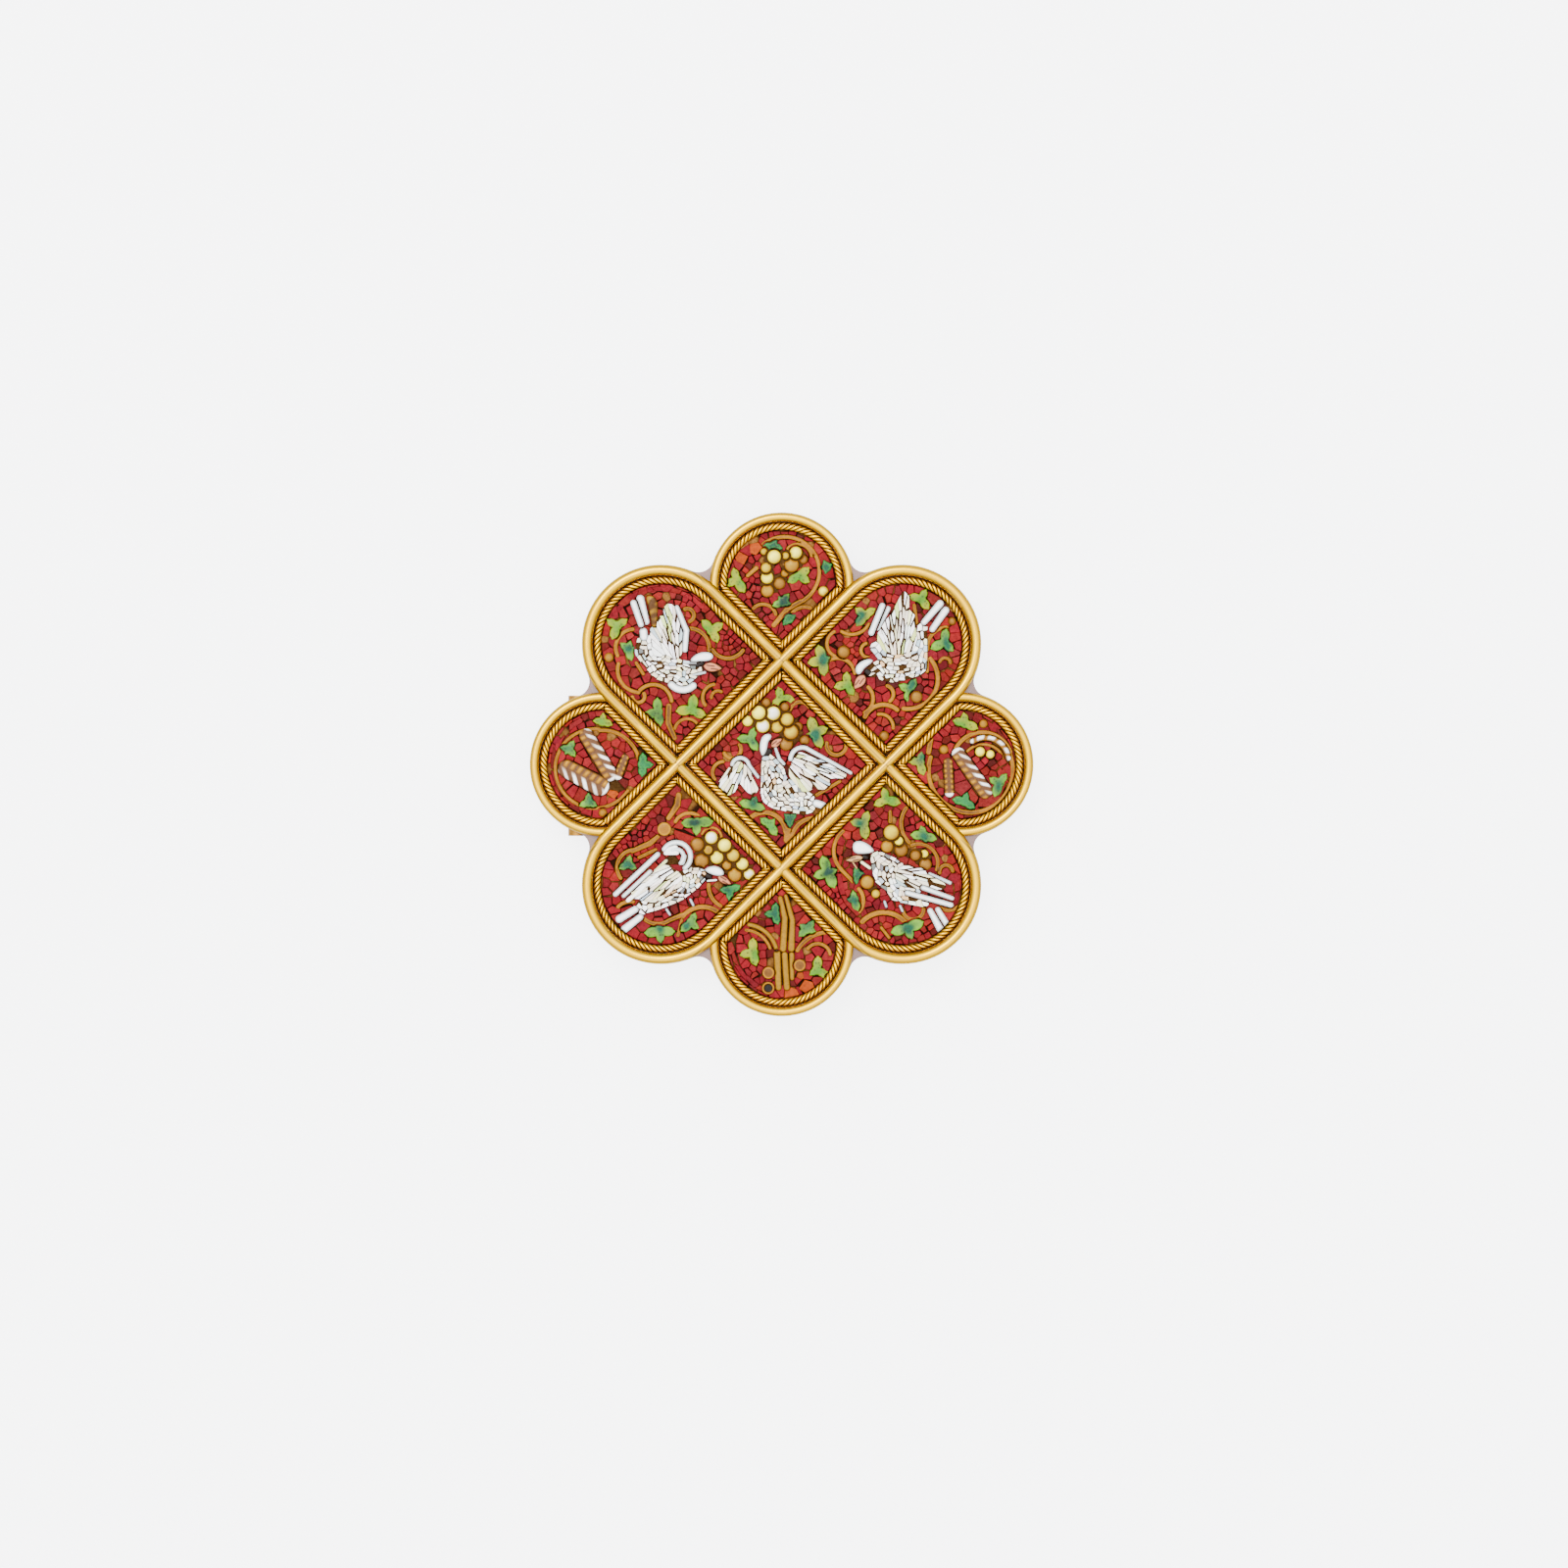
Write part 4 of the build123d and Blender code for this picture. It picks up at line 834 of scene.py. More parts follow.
def pillow(batch, loop, form, shade_of, relief=None, foot=glass_foot):
    """One soft-edged piece. shade_of and relief take the points and their distance to the edge."""
    top, rounding, crown, gap = forms[form]
    plan, triangles = filled(loop, refined(loop, gap), gap, rounding)
    far = nearest_edge(plan, loop)[0]
    height = top - rounding * (1 - round_over(far, rounding))
    height += crown * round_over(far, max(far.max(), 1e-6)) - crown
    if relief is not None:
        height += relief(plan, far)
    shade = shade_of(plan, far)
    used = set()
    for a, b, c in triangles:
        used.update(((a, b), (b, c), (c, a)))
    rim = [(a, b) for a, b in used if (b, a) not in used]
    low = {}
    for pair in rim:
        for corner in pair:
            low.setdefault(corner, len(plan) + len(low))
    under = [(*plan[corner], foot) for corner in low]
    faces = triangles.tolist() + [[b, a, low[a], low[b]] for a, b in rim]
    # Painted shade: each side runs from the top's tint down to about a third of it at the foot.
    shades = np.concatenate([shade, shade[list(low)] * wall_painted_shade])
    batch.add(np.concatenate([np.column_stack([plan, height]), under]), faces, shades)


# %% Shades of glass
def column(values):
    return np.clip(values, 0, 1)[:, None]


def melt(first, second, share):
    """Two colours run into each other by the share, which is a column."""
    return first * (1 - share) + second * share


def dark_edge(far, width, depth):
    """1 inside, and less by the depth at the very edge."""
    return 1 - depth * column(1 - far / width)


def rim_and_core(rim, core, width):
    """A tint at the edge that turns into another one over the width."""
    return lambda plan, far: melt(linear(rim), linear(core), column(far / width) ** 1.5)


def grape_shade(skin, flesh, heart, reach, lit=None):
    """A thin dark skin, then the flesh, then the heart at the reach from the edge.

    Where lit gives the middle, the heart is drawn to its upper left as a painted highlight, and the lower
    right stays deep as painted shade.
    """
    skin_colour, flesh_colour, heart_colour = linear(skin), linear(flesh), linear(heart)

    def shade_of(plan, far):
        inwards = column((far - 0.02) / 0.06)
        deep = column((far - 0.10) / (reach - 0.10))
        body = flesh_colour
        if lit is not None:
            # Painted light: the heart leans to the upper left and the flesh darkens to the skin's tint on the
            # lower right.
            rise = ((plan - lit) @ np.array([-0.7, 0.9]))[:, None]
            deep = deep * np.clip(0.75 + rise, 0, 1)
            body = melt(flesh_colour, skin_colour, np.clip(-rise * 0.9, 0, 0.6))
        return melt(skin_colour, melt(body, heart_colour, deep), inwards)

    return shade_of


def wavy(depth, size, seed):
    """Gentle unevenness in height, from a few slow waves."""
    rng = np.random.default_rng(seed)
    ways = rng.normal(size=(5, 2)) / size
    starts = rng.uniform(0, 6.3, 5)
    return lambda plan, far: depth * np.sin(plan @ ways.T + starts).mean(axis=1)


# %% [markdown]
# ## Laying the tesserae
# A mosaicist lays small cut pieces side by side, turned to follow the nearest outline. To do the
# same, fine samples fill the place, a seed stands for each piece, and each round moves the seeds
# to the middle of the samples nearest to them, measured along and across the local way. Measured
# so, they settle into rows of squares or of long strips. Each group of samples then becomes a
# cut piece with a few straight sides, a bevelled edge and a slight tilt of its own.

# %% Group the samples
laying_rounds = 14


def lay_pieces(samples, grain, size, long, way_of, seed):
    """Groups the samples into pieces of about the size, and gives the samples of each group."""
    rng = np.random.default_rng(seed)
    if len(samples) < 4:
        return []
    count = max(1, round(len(samples) * grain**2 / (size * size * long)))
    seeds = samples[rng.choice(len(samples), count, replace=False)]
    for step in range(laying_rounds):
        way = way_of(seeds)
        side = left_of(way)
        along = samples @ way.T - np.sum(seeds * way, axis=1)
        across = samples @ side.T - np.sum(seeds * side, axis=1)
        if step < laying_rounds - 1:
            apart = np.maximum(np.abs(along) / long, np.abs(across))
        else:
            apart = (along / long) ** 2 + across**2
        group = apart.argmin(axis=1)
        sizes = np.bincount(group, minlength=count)
        sums = [np.bincount(group, samples[:, i], count) for i in (0, 1)]
        middles = np.stack(sums, 1) / np.maximum(sizes, 1)[:, None]
        seeds = np.where(sizes[:, None] > 0, middles, seeds)
    return [samples[group == i] for i in range(count) if sizes[i] > 3]


# %% Cut each group to a shape
most_corners = 5


def hull(points):
    """The convex outline of the points, counterclockwise."""
    order = points[np.lexsort((points[:, 1], points[:, 0]))]

    def half(rows):
        line = []
        for x, y in rows:
            while len(line) > 1:
                (x1, y1), (x2, y2) = line[-2:]
                if (x2 - x1) * (y - y1) > (y2 - y1) * (x - x1):
                    break
                line.pop()
            line.append((x, y))
        return line[:-1]

    return np.array(half(order) + half(order[::-1]))


def cut_shape(points, corners):
    """The straight-sided shape round the points, with its least corners cut off."""
    shape = hull(points)
    while len(shape) > corners:
        before, after = np.roll(shape, 1, axis=0), np.roll(shape, -1, axis=0)
        shape = np.delete(shape, np.abs(cross(shape - before, after - before)).argmin(), axis=0)
    return shape


def drawn_in(shape, gap):
    """The shape with its sides moved inwards, all by one gap or by one each. None if it closes up."""
    way = np.roll(shape, -1, axis=0) - shape
    length = np.linalg.norm(way, axis=1)
    if len(shape) < 3 or length.min() < 0.02:
        return None
    way = way / length[:, None]
    inward = left_of(way)
    limit = np.sum((shape + inward * np.reshape(gap, (-1, 1))) * inward, axis=1)
    before, before_limit = np.roll(inward, 1, axis=0), np.roll(limit, 1)
    sine = cross(before, inward)
    if np.abs(sine).min() < 0.02:
        return None
    x = (before_limit * inward[:, 1] - limit * before[:, 1]) / sine
    y = (limit * before[:, 0] - before_limit * inward[:, 0]) / sine
    moved = np.stack([x, y], 1)
    if np.any(np.sum((np.roll(moved, -1, axis=0) - moved) * way, axis=1) <= 0):
        return None
    return moved


def laid_shape(group, joints, rng):
    """The cut shape of a group of samples, less its share of the joints, and each corner's stain.

    Most sides lie close to the next piece, and the wide share of them leave a wide joint.
    """
    close, wide, wide_share = joints
    is_wide = rng.random(most_corners) < wide_share
    wide_gaps = wide * rng.uniform(0.6, 1.4, most_corners)
    gaps = np.where(is_wide, wide_gaps, close * rng.uniform(0.5, 1.5, most_corners))
    for count in range(most_corners, 2, -1):
        cut = cut_shape(group, count)
        for scale in (1, 0.4):
            shape = drawn_in(cut, gaps[:len(cut)] * scale)
            if shape is not None:
                beside = is_wide[:len(cut)] | np.roll(is_wide[:len(cut)], 1)
                return shape, np.where(beside, 0.95, 0.40)
    return None, None


# %% Add a cut piece
def add_chip(batch, shape, stain, top, foot, bevel, shade, grout, tilt, rng):
    """One cut piece: straight sides, a bevel stained by the grout and a slightly tilted top."""
    inner = drawn_in(shape, bevel)
    if inner is None:
        inner = drawn_in(shape, bevel / 3)
    if inner is None:
        return False
    middle = shape.mean(axis=0)
    lean = rng.normal(0, tilt, 2)
    count = len(shape)
    shoulder = top - bevel * 0.8 + (shape - middle) @ lean
    crest = top + (inner - middle) @ lean
    points = np.concatenate([
        np.column_stack([shape, np.full(count, foot)]),
        np.column_stack([shape, shoulder]),
        np.column_stack([inner, crest]),
    ])
    faces = [list(range(2 * count, 3 * count))]
    for i in range(count):
        j = (i + 1) % count
        faces.append([i, j, count + j, count + i])
        faces.append([count + i, count + j, 2 * count + j, 2 * count + i])
    stained = melt(shade, linear(grout), stain[:, None])
    lit = shade * rng.uniform(0.86, 1.08, (count, 1))
    # The foot of each side takes the grout at half its tint, as painted shade deep in the joint.
    shades = np.concatenate([np.tile(linear(grout) * 0.5, (count, 1)), stained, lit])
    batch.add(points, faces, shades, smooth=False)
    return True


def mixed_tint(names, weights, spread_by, rng):
    """One of the named tints, a little lighter or darker than its name."""
    colour = linear(names[rng.choice(len(names), p=np.array(weights) / sum(weights))])
    lighter = 1 + rng.normal(0, spread_by)
    return np.clip(colour * lighter * (1 + rng.normal(0, spread_by * 0.6, 3)), 0.0005, 1)


# %% [markdown]
# ## Mastic
# The tesserae are pushed into a putty of stone dust and oil, which has turned brown. It shows
# in the joints, in the groove under the wires and, where chips are missing, as a paler gritty
# patch or a dark hollow. One lumpy sheet in each cell is enough to lie under them all. It stands
# higher below the doves and between the grapes, where it is pressed up.

# %% Places without glass
bare_places = {
    "centre": [(-4.9, 0.7, 0.5), (4.3, 1.4, 0.4), (-4.3, -2.9, 0.4)],
    "northwest": [(-0.75, 3.4, 0.40), (-0.65, 2.7, 0.40), (-0.60, 2.0, 0.38), (0.5, 4.3, 0.45),
                  (-5.2, 0.4, 0.4)],
    "northeast": [(-4.4, -4.9, 0.5), (-5.0, 0.9, 0.4), (4.6, 3.3, 0.4), (-3.3, 3.9, 0.4)],
    "southwest": [(0.9, 4.9, 0.35), (2.6, 0.9, 0.35)],
    "southeast": [(0.9, 3.6, 0.5), (-0.9, 5.9, 0.4), (3.9, 2.4, 0.4)],
    "north": [(-3.5, 3.6, 0.55), (-2.6, 4.1, 0.5), (-1.6, 2.2, 0.45), (0.1, 1.9, 0.35), (2.6, 3.6, 0.4)],
    "east": [(0.6, 2.2, 0.4), (-2.4, -1.2, 0.4)],
    "south": [(-0.7, 0.6, 0.5), (2.3, -0.6, 0.4), (-2.2, 2.9, 0.4)],
    "west": [(0.9, 2.6, 0.5), (2.6, -2.3, 0.4), (-0.6, 2.9, 0.4)],
}
hollows = {
    "southwest": [(0.95, 2.35, 0.50), (0.35, 1.85, 0.50), (-0.30, 1.35, 0.36), (1.45, 1.95, 0.40)],
    "south": [(-4.3, 0.6, 0.45), (-4.5, -0.2, 0.40), (0.55, 3.4, 0.30), (0.55, 2.7, 0.34),
              (0.55, 2.0, 0.36), (0.6, 1.3, 0.38), (0.6, 0.6, 0.38), (0.0, -1.1, 0.36), (0.0, -1.8, 0.36),
              (0.05, -2.5, 0.36), (0.1, -3.2, 0.36), (0.68, -1.2, 0.30), (0.68, -1.9, 0.30),
              (0.70, -2.6, 0.30)],
    "west": [(1.1, -1.9, 0.55), (1.7, -2.1, 0.45)],
    "centre": [(1.05, 1.05, 0.35)],
}


def in_places(places, cell, plan, reach, fade):
    """How far inside the round places each point is, 1 in the middle and 0 past the reach."""
    share = np.zeros(len(plan))
    for x, y, radius in places.get(cell, []):
        apart = np.linalg.norm(plan - cell_places[cell] - (x, y), axis=1)
        share = np.maximum(share, np.clip((radius * reach - apart) / (radius * fade), 0, 1))
    return share


def hollowness(cell, plan):
    return in_places(hollows, cell, plan, 1.15, 0.3)


def bareness(cell, plan):
    return in_places(bare_places, cell, plan, 1.25, 0.5)


def under_dove(cell, plan):
    """1 for the points below a dove's wings or body, else 0."""
    share = np.zeros(len(plan))
    for height, loop in motifs[cell].get("dove", []):
        if height < smooth_above:
            share = np.maximum(share, ~keep_clear(plan, loop, 0.08))
    return share


def between_fruit(cell, plan):
    """1 for the points in the gaps of a bunch of fruit, else 0."""
    near = np.zeros(len(plan))
    for height, loop in motifs[cell].get("fruit", []):
        near += ~keep_clear(plan, loop, 0.36)
    return (near > 1).astype(float)


# %% Mastic in every cell
mastic_foot = 5.24
dove_bed_rise = 0.32
fruit_bed_rise = 0.26
for number, cell in enumerate(cells):
    batch = Batch()
    lumps = wavy(0.05, 0.12, 40 + number)
    fine_lumps = wavy(0.06, 0.05, 60 + number)
    drifts = wavy(1.0, 0.45, 80 + number)

    def mastic_relief(plan, far):
        raised = np.clip((far - 0.50) / 0.2, 0, 1)
        beds = dove_bed_rise * under_dove(cell, plan) + fruit_bed_rise * between_fruit(cell, plan)
        patches = bareness(cell, plan) * (0.14 + fine_lumps(plan, far))
        patches += np.clip(drifts(plan, far), 0, 1) * 0.14
        return raised * (lumps(plan, far) + 0.10 + np.maximum(beds, patches))

    def mastic_shade(plan, far):
        gritty = melt(linear("brown ochre"), linear("crumb"), column(0.5 + fine_lumps(plan, far) * 9))
        golden = linear("joint") * 0.8 + gritty * 0.16
        drifted = np.clip(drifts(plan, far) * 2.2, 0, 0.75)
        bed = column(np.maximum(under_dove(cell, plan), between_fruit(cell, plan)))
        deep = column(hollowness(cell, plan))
        bare = np.maximum(column(np.maximum(bareness(cell, plan), drifted)), deep)
        return melt(melt(linear("mastic"), gritty * (1 - 0.78 * deep), bare), golden, bed)

    wall = cell_outline(cell, 0.02)
    pillow(batch, wall, "mastic", mastic_shade, mastic_relief, mastic_foot)
    batch.piece("mastic_" + cell, mastic_wax, "cement")

# %% [markdown]
# ## Red ground
# The red pieces are cut from rods and are roughly square, about 0.7 mm wide, with triangles where
# they meet a curve. In some places the maker used long strips that follow the border, and in a
# few places orange pieces. Room is left for the doves' eyes and beaks, which come later.

# %% Places of strips, orange pieces, eyes and beaks
ground_grain = 0.06
ground_top = 5.60
ground_foot = 5.16
ground_joints = (-0.012, 0.050, 0.22)
ground_bevel = 0.045
ground_tilt = 0.07
least_area = 0.03
strip_places = {
    "northwest": [arc((0, 0), 5.05, 42, 150)],
    "southeast": [arc((-1.2, 1.0), 4.6, 160, 232), arc((0, 0), 5.05, -30, 12)],
    "southwest": [arc((1.4, 2.6), 2.25, -20, 140)],
    "east": [arc((0, 0), 4.45, -75, 75)],
    "west": [arc((0, 0), 4.45, 115, 250)],
    "south": [arc((0, 0), 4.45, 190, 262)],
}
orange_places = {
    "north": [(-2.4, 3.3, 0.66), (-3.65, 2.4, 0.66)],
    "south": [(2.3, -3.9, 0.74), (0.9, -4.6, 0.72), (1.7, -2.85, 0.40)],
    "west": [(1.0, -2.6, 0.6)],
}
red_names = ["crimson", "brick", "rose", "wine"]
red_weights = [8, 3, 2.4, 0.9]
eyes = {
    "centre": (-1.30, 1.05), "northwest": (3.55, -1.85), "northeast": (-3.10, -2.62),
    "southwest": (4.28, 0.78), "southeast": (-3.28, 2.52),
}
beaks = {
    "centre": (-0.45, 1.98, 1.25, 0.70, 38), "northwest": (4.72, -2.15, 1.75, 0.86, -8),
    "northeast": (-3.90, -3.50, 1.60, 0.92, -127), "southwest": (5.80, 0.42, 1.45, 0.64, -30),
    "southeast": (-4.38, 2.38, 1.66, 0.62, 190),
}


def almond(x, y, length, width, turn):
    """The outline of a beak: a point at both ends, the sharper one ahead."""
    angles = np.linspace(0, 2 * math.pi, 28, endpoint=False)
    along = np.cos(angles)
    across = np.sign(np.sin(angles)) * np.clip(1 - along**2, 0, 1) ** 0.75 * (1 - 0.30 * along)
    return turned(np.stack([along * length / 2, across * width / 2], 1), turn) + (x, y)


# %% Lay the red ground
# Each cut is a width in mm and how many times as long the piece is.
red_cut = (0.70, 1.0)
orange_cut = (1.00, 1.3)
strip_cut = (0.42, 4.2)
strip_reach = 0.24
motif_gap = 0.035
beak_gap = 0.03
eye_room = 0.46


def way_along(line, ways):
    """For any points, the way at the nearest point of the line."""
    return lambda points: ways[np.linalg.norm(points[:, None] - line, axis=2).argmin(axis=1)]


chips_laid = 0
for number, cell in enumerate(cells):
    rng = np.random.default_rng(200 + number)
    centre = cell_places[cell]
    field = cell_outline(cell, 0.82)
    samples = grid_inside(field, ground_grain)
    outlines = [loop for found in motifs[cell].values() for height, loop in found]
    for loop in outlines:
        samples = samples[keep_clear(samples, loop, motif_gap)]
    for taken in (bareness, between_fruit, hollowness):
        samples = samples[taken(cell, samples) < 0.5]
    if cell in eyes:
        samples = samples[np.linalg.norm(samples - centre - eyes[cell], axis=1) > eye_room]
        samples = samples[keep_clear(samples, almond(*beaks[cell]) + centre, beak_gap)]
    fine = [refined(loop, 0.4) for loop in [field, *outlines]]
    runs = unit(np.concatenate([np.roll(loop, -1, axis=0) - loop for loop in fine]))
    ground_way = way_along(np.concatenate(fine), runs)
    groups = []
    for line in strip_places.get(cell, []):
        strip = line + centre
        close = np.linalg.norm(samples[:, None] - strip, axis=2).min(axis=1) < strip_reach
        strip_way = way_along(strip, unit(np.gradient(strip, axis=0)))
        groups += lay_pieces(samples[close], ground_grain, *strip_cut, strip_way, 300 + number)
        samples = samples[~close]
    for x, y, radius in orange_places.get(cell, []):
        close = np.linalg.norm(samples - centre - (x, y), axis=1) < radius
        groups += lay_pieces(samples[close], ground_grain, *orange_cut, ground_way, 350 + number)
        samples = samples[~close]
    groups += lay_pieces(samples, ground_grain, *red_cut, ground_way, 400 + number)
    batch = Batch()
    for group in groups:
        if len(group) * ground_grain**2 < least_area:
            continue
        shape, stain = laid_shape(group, ground_joints, rng)
        if shape is None:
            continue
        middle = group.mean(axis=0) - centre
        shade = mixed_tint(red_names, red_weights, 0.16, rng)
        for x, y, radius in orange_places.get(cell, []):
            if np.hypot(middle[0] - x, middle[1] - y) < radius:
                shade = mixed_tint(["orange"], [1], 0.08, rng)
        top = ground_top + rng.normal(0, 0.018)
        chips_laid += add_chip(
            batch, shape, stain, top, ground_foot, ground_bevel, shade, "mastic", ground_tilt, rng)
    batch.piece("red_tesserae_" + cell, red_glass, "red_smalti", "ground_" + cell)
print("red pieces laid:", chips_laid)

# %% [markdown]
# ## Doves
# A dove's quills, tail and neck are single smooth pieces of white glass. Its wings are long thin
# strips that fan out from the shoulder, and its body is laid with shorter chips. The block's
# height in the solid model tells which of the three it is. The cap of the head gets its true
# curve here, and the beak, the eye, the legs and a few loose feathers are drawn from short rows.

# %% Places on the doves
feather_tints = (["white", "warm white", "ivory", "pale green", "cool white"], [7, 6, 1.4, 0.7, 1.2])
body_names = ["white", "warm white", "cool white", "ivory", "grey", "pink white"]
body_tints = (body_names, [6, 7, 2.0, 1.0, 0.9, 1.0])
shoulders = {
    "centre": [(-3.25, 0.8), (-0.3, 1.1)],
    "northwest": [(1.6, -2.3)],
    "northeast": [(-0.3, -3.0)],
    "southwest": [(4.5, 3.2)],
    "southeast": [(-2.0, 1.6)],
}
caps = {
    "centre": [(-1.79, 0.70), (-2.02, 1.34), (-1.98, 2.05), (-1.74, 2.58), (-1.34, 2.82), (-0.90, 2.70),
               (-0.96, 2.33), (-1.20, 2.10), (-1.28, 1.75), (-1.34, 1.35), (-1.50, 0.95)],
    "northwest": [(2.60, -1.52), (3.13, -0.97), (3.80, -0.74), (4.50, -0.78), (4.80, -1.07),
                  (4.68, -1.45), (4.14, -1.61), (3.58, -1.60), (3.02, -1.70)],
    "northeast": [(-2.60, -1.55), (-2.91, -1.37), (-3.47, -1.46), (-4.05, -1.82), (-4.30, -2.24),
                  (-4.22, -2.68), (-3.90, -2.86), (-3.66, -2.57), (-3.44, -2.22), (-3.08, -1.98)],
    "southwest": [(3.90, 1.38), (4.36, 1.70), (5.03, 1.76), (5.60, 1.47), (5.80, 1.01), (5.50, 0.80),
                  (4.92, 0.86), (4.40, 1.05)],
    "southeast": [(-4.55, 3.46), (-4.43, 3.86), (-4.04, 4.05), (-3.48, 3.94), (-3.01, 3.66),
                  (-2.50, 3.13), (-2.85, 2.91), (-3.48, 2.83), (-4.12, 2.83), (-4.47, 3.07)],
}
# The tint and width of each kind of rod's rim.
rod_rims = {
    "feather": ("edge", 0.07), "eye": ("mastic", 0.08), "bill": ("joint", 0.08), "leg": ("joint", 0.09),
}
# For each rod: its kind and tint, its two ends and its radius.
rods = {
    "centre": [("eye", "dark", -1.50, 0.95, -1.12, 1.18, 0.30)],
    "northwest": [("eye", "dark", 3.33, -1.97, 3.78, -1.78, 0.23)],
    "northeast": [("eye", "dark", -3.22, -2.52, -2.98, -2.72, 0.28)],
    "southwest": [
        ("feather", "white", -0.35, 0.92, -3.00, -1.40, 0.21),
        ("feather", "pale green", 0.48, 2.22, -0.52, 1.26, 0.15),
        ("feather", "white", 0.62, 3.18, 1.30, 3.40, 0.26),
        ("feather", "white", 0.45, 2.92, 1.45, 2.95, 0.22),
        ("feather", "cool white", 2.10, 2.62, 1.95, 2.05, 0.24),
        ("eye", "dark", 4.22, 0.84, 4.46, 0.72, 0.24), ("eye", "dark", 4.75, 1.02, 5.50, 0.80, 0.08),
        ("bill", "white", 4.25, 0.38, 5.05, 0.46, 0.11),
        ("leg", "cool white", 2.68, -1.32, 2.95, -1.85, 0.14),
        ("leg", "cool white", 0.50, -2.20, 0.82, -2.70, 0.14),
    ],
    "southeast": [
        ("eye", "dark", -3.50, 2.56, -3.26, 2.50, 0.22),
        ("bill", "ivory", -3.70, 2.08, -2.95, 1.55, 0.17), ("bill", "bill", -4.50, 2.06, -4.14, 1.52, 0.10),
        ("leg", "cool white", -1.62, -1.50, -1.45, -1.98, 0.14),
        ("leg", "cool white", -0.20, -1.90, 0.02, -2.38, 0.14),
    ],
}


# %% Outlines and beaks
def rod(x1, y1, x2, y2, radius):
    """The outline of a short round-ended rod, from two ends and a radius."""
    turn = math.degrees(math.atan2(y2 - y1, x2 - x1))
    far_end = arc((x2, y2), radius, turn - 90, turn + 90)
    return np.concatenate([far_end, arc((x1, y1), radius, turn + 90, turn + 270)])


def swollen(loop, by):
    """The loop grown outwards a little, to close up with its neighbour."""
    edge = refined(loop, 0.15)
    return edge - left_of(unit(np.roll(edge, -1, axis=0) - np.roll(edge, 1, axis=0))) * by


def softened(rows):
    """A closed outline with its corners cut twice, so that it runs smoothly."""
    loop = np.array(rows, dtype=float)
    for cut in range(2):
        ahead = np.roll(loop, -1, axis=0)
        loop = np.stack([loop * 0.75 + ahead * 0.25, loop * 0.25 + ahead * 0.75], 1).reshape(-1, 2)
    return loop if signed_area(loop) > 0 else loop[::-1]


def long_way(loop):
    """The way in which the loop is longest."""
    return np.linalg.eigh(np.cov((loop - loop.mean(axis=0)).T))[1][:, 1]


def beak_shade(loop, tint):
    """Glass of one tint with two dark slits along its length and a dark edge."""
    middle = loop.mean(axis=0)
    way = long_way(loop)
    side = left_of(way)
    half = np.abs((loop - middle) @ way).max()

    def shade_of(plan, far):
        along, across = (plan - middle) @ way, (plan - middle) @ side
        slits = np.zeros(len(plan))
        for off, start, end in ((0.13, -0.60, 0.20), (-0.11, -0.20, 0.70)):
            here = (along > start * half) & (along < end * half)
            slits = np.maximum(slits, np.clip(1.6 - np.abs(across - off) / 0.055, 0, 1) * here)
        edge = np.clip(1.3 - far / 0.08, 0, 1) * 0.9
        return melt(linear(tint), linear("joint"), np.maximum(slits * 0.95, edge)[:, None])

    return shade_of


# %% Lay the doves
dove_grain = 0.035
dove_joints = (-0.004, 0.080, 0.27)
dove_bevel = 0.032
dove_tilt = 0.10
feather_cut = (0.31, 4.6)
feather_top = 5.90
body_cut = (0.36, 1.8)
body_top = 5.86
overlap = 0.09
beak_reach = 0.50
cap_reach = 0.45
eye_radius = 0.30
for number, (cell, shoulder_places) in enumerate(shoulders.items()):
    rng = np.random.default_rng(500 + number)
    batch = Batch()
    centre = cell_places[cell]
    eye = centre + eyes[cell]
    chips = 0
    for height, loop in motifs[cell]["dove"]:
        if height > smooth_above:
            seed = int(rng.integers(1 << 30))
            middle = loop.mean(axis=0) - centre
            if np.linalg.norm(middle - beaks[cell][:2]) < beak_reach:
                continue
            if np.linalg.norm(middle - np.mean(caps[cell], axis=0)) < cap_reach:
                loop = softened(caps[cell]) + centre
            # Painted shade: the quill's white runs into cool white towards its rounded edge, inside a thin
            # grey edge.
            shade_of = grape_shade("edge", "cool white", "white", 0.22)
            pillow(batch, loop, "quill", shade_of, wavy(0.03, 0.25, seed))
            continue
        samples = grid_inside(swollen(loop, overlap), dove_grain, 0.01)
        samples = samples[np.linalg.norm(samples - eye, axis=1) > eye_radius]
        if height > wings_above:
            roots = np.array(shoulder_places) + centre
            root = roots[np.linalg.norm(roots - samples.mean(axis=0), axis=1).argmin()]

            def wing_way(points):
                return unit(points - root)

            groups = lay_pieces(samples, dove_grain, *feather_cut, wing_way, 600 + number)
            palette, top = feather_tints, feather_top
        else:
            def body_way(points):
                return nearest_edge(points, loop)[1]

            groups = lay_pieces(samples, dove_grain, *body_cut, body_way, 700 + number)
            palette, top = body_tints, body_top
        for group in groups:
            shape, stain = laid_shape(group, dove_joints, rng)
            if shape is None:
                continue
            shade = mixed_tint(*palette, 0.06, rng)
            chip_top = top + rng.normal(0, 0.02)
            chips += add_chip(
                batch, shape, stain, chip_top, glass_foot, dove_bevel, shade, "joint", dove_tilt, rng)
    beak = almond(*beaks[cell]) + centre
    beak_glass = beak_shade(beak, "bill" if cell == "southeast" else "beak")
    pillow(batch, beak, "beak", beak_glass)
    for kind, tint, *row in rods[cell]:
        rim, width = rod_rims[kind]
        pillow(batch, rod(*row) + centre, kind, rim_and_core(rim, tint, width))
    batch.piece("dove_glass_" + cell, white_glass, "white_smalti", "dove_" + cell)
    print("dove", cell, chips, "chips")

# %% [markdown]
# ## Leaves
# Each ivy leaf is one piece of glass with two greens run into each other. The pale green is at
# the tips, the blue-green in the middle or along one edge, and small dark pits dot the surface.
# Each row of the table gives a place in the cell and the two greens of the leaf nearest to it.

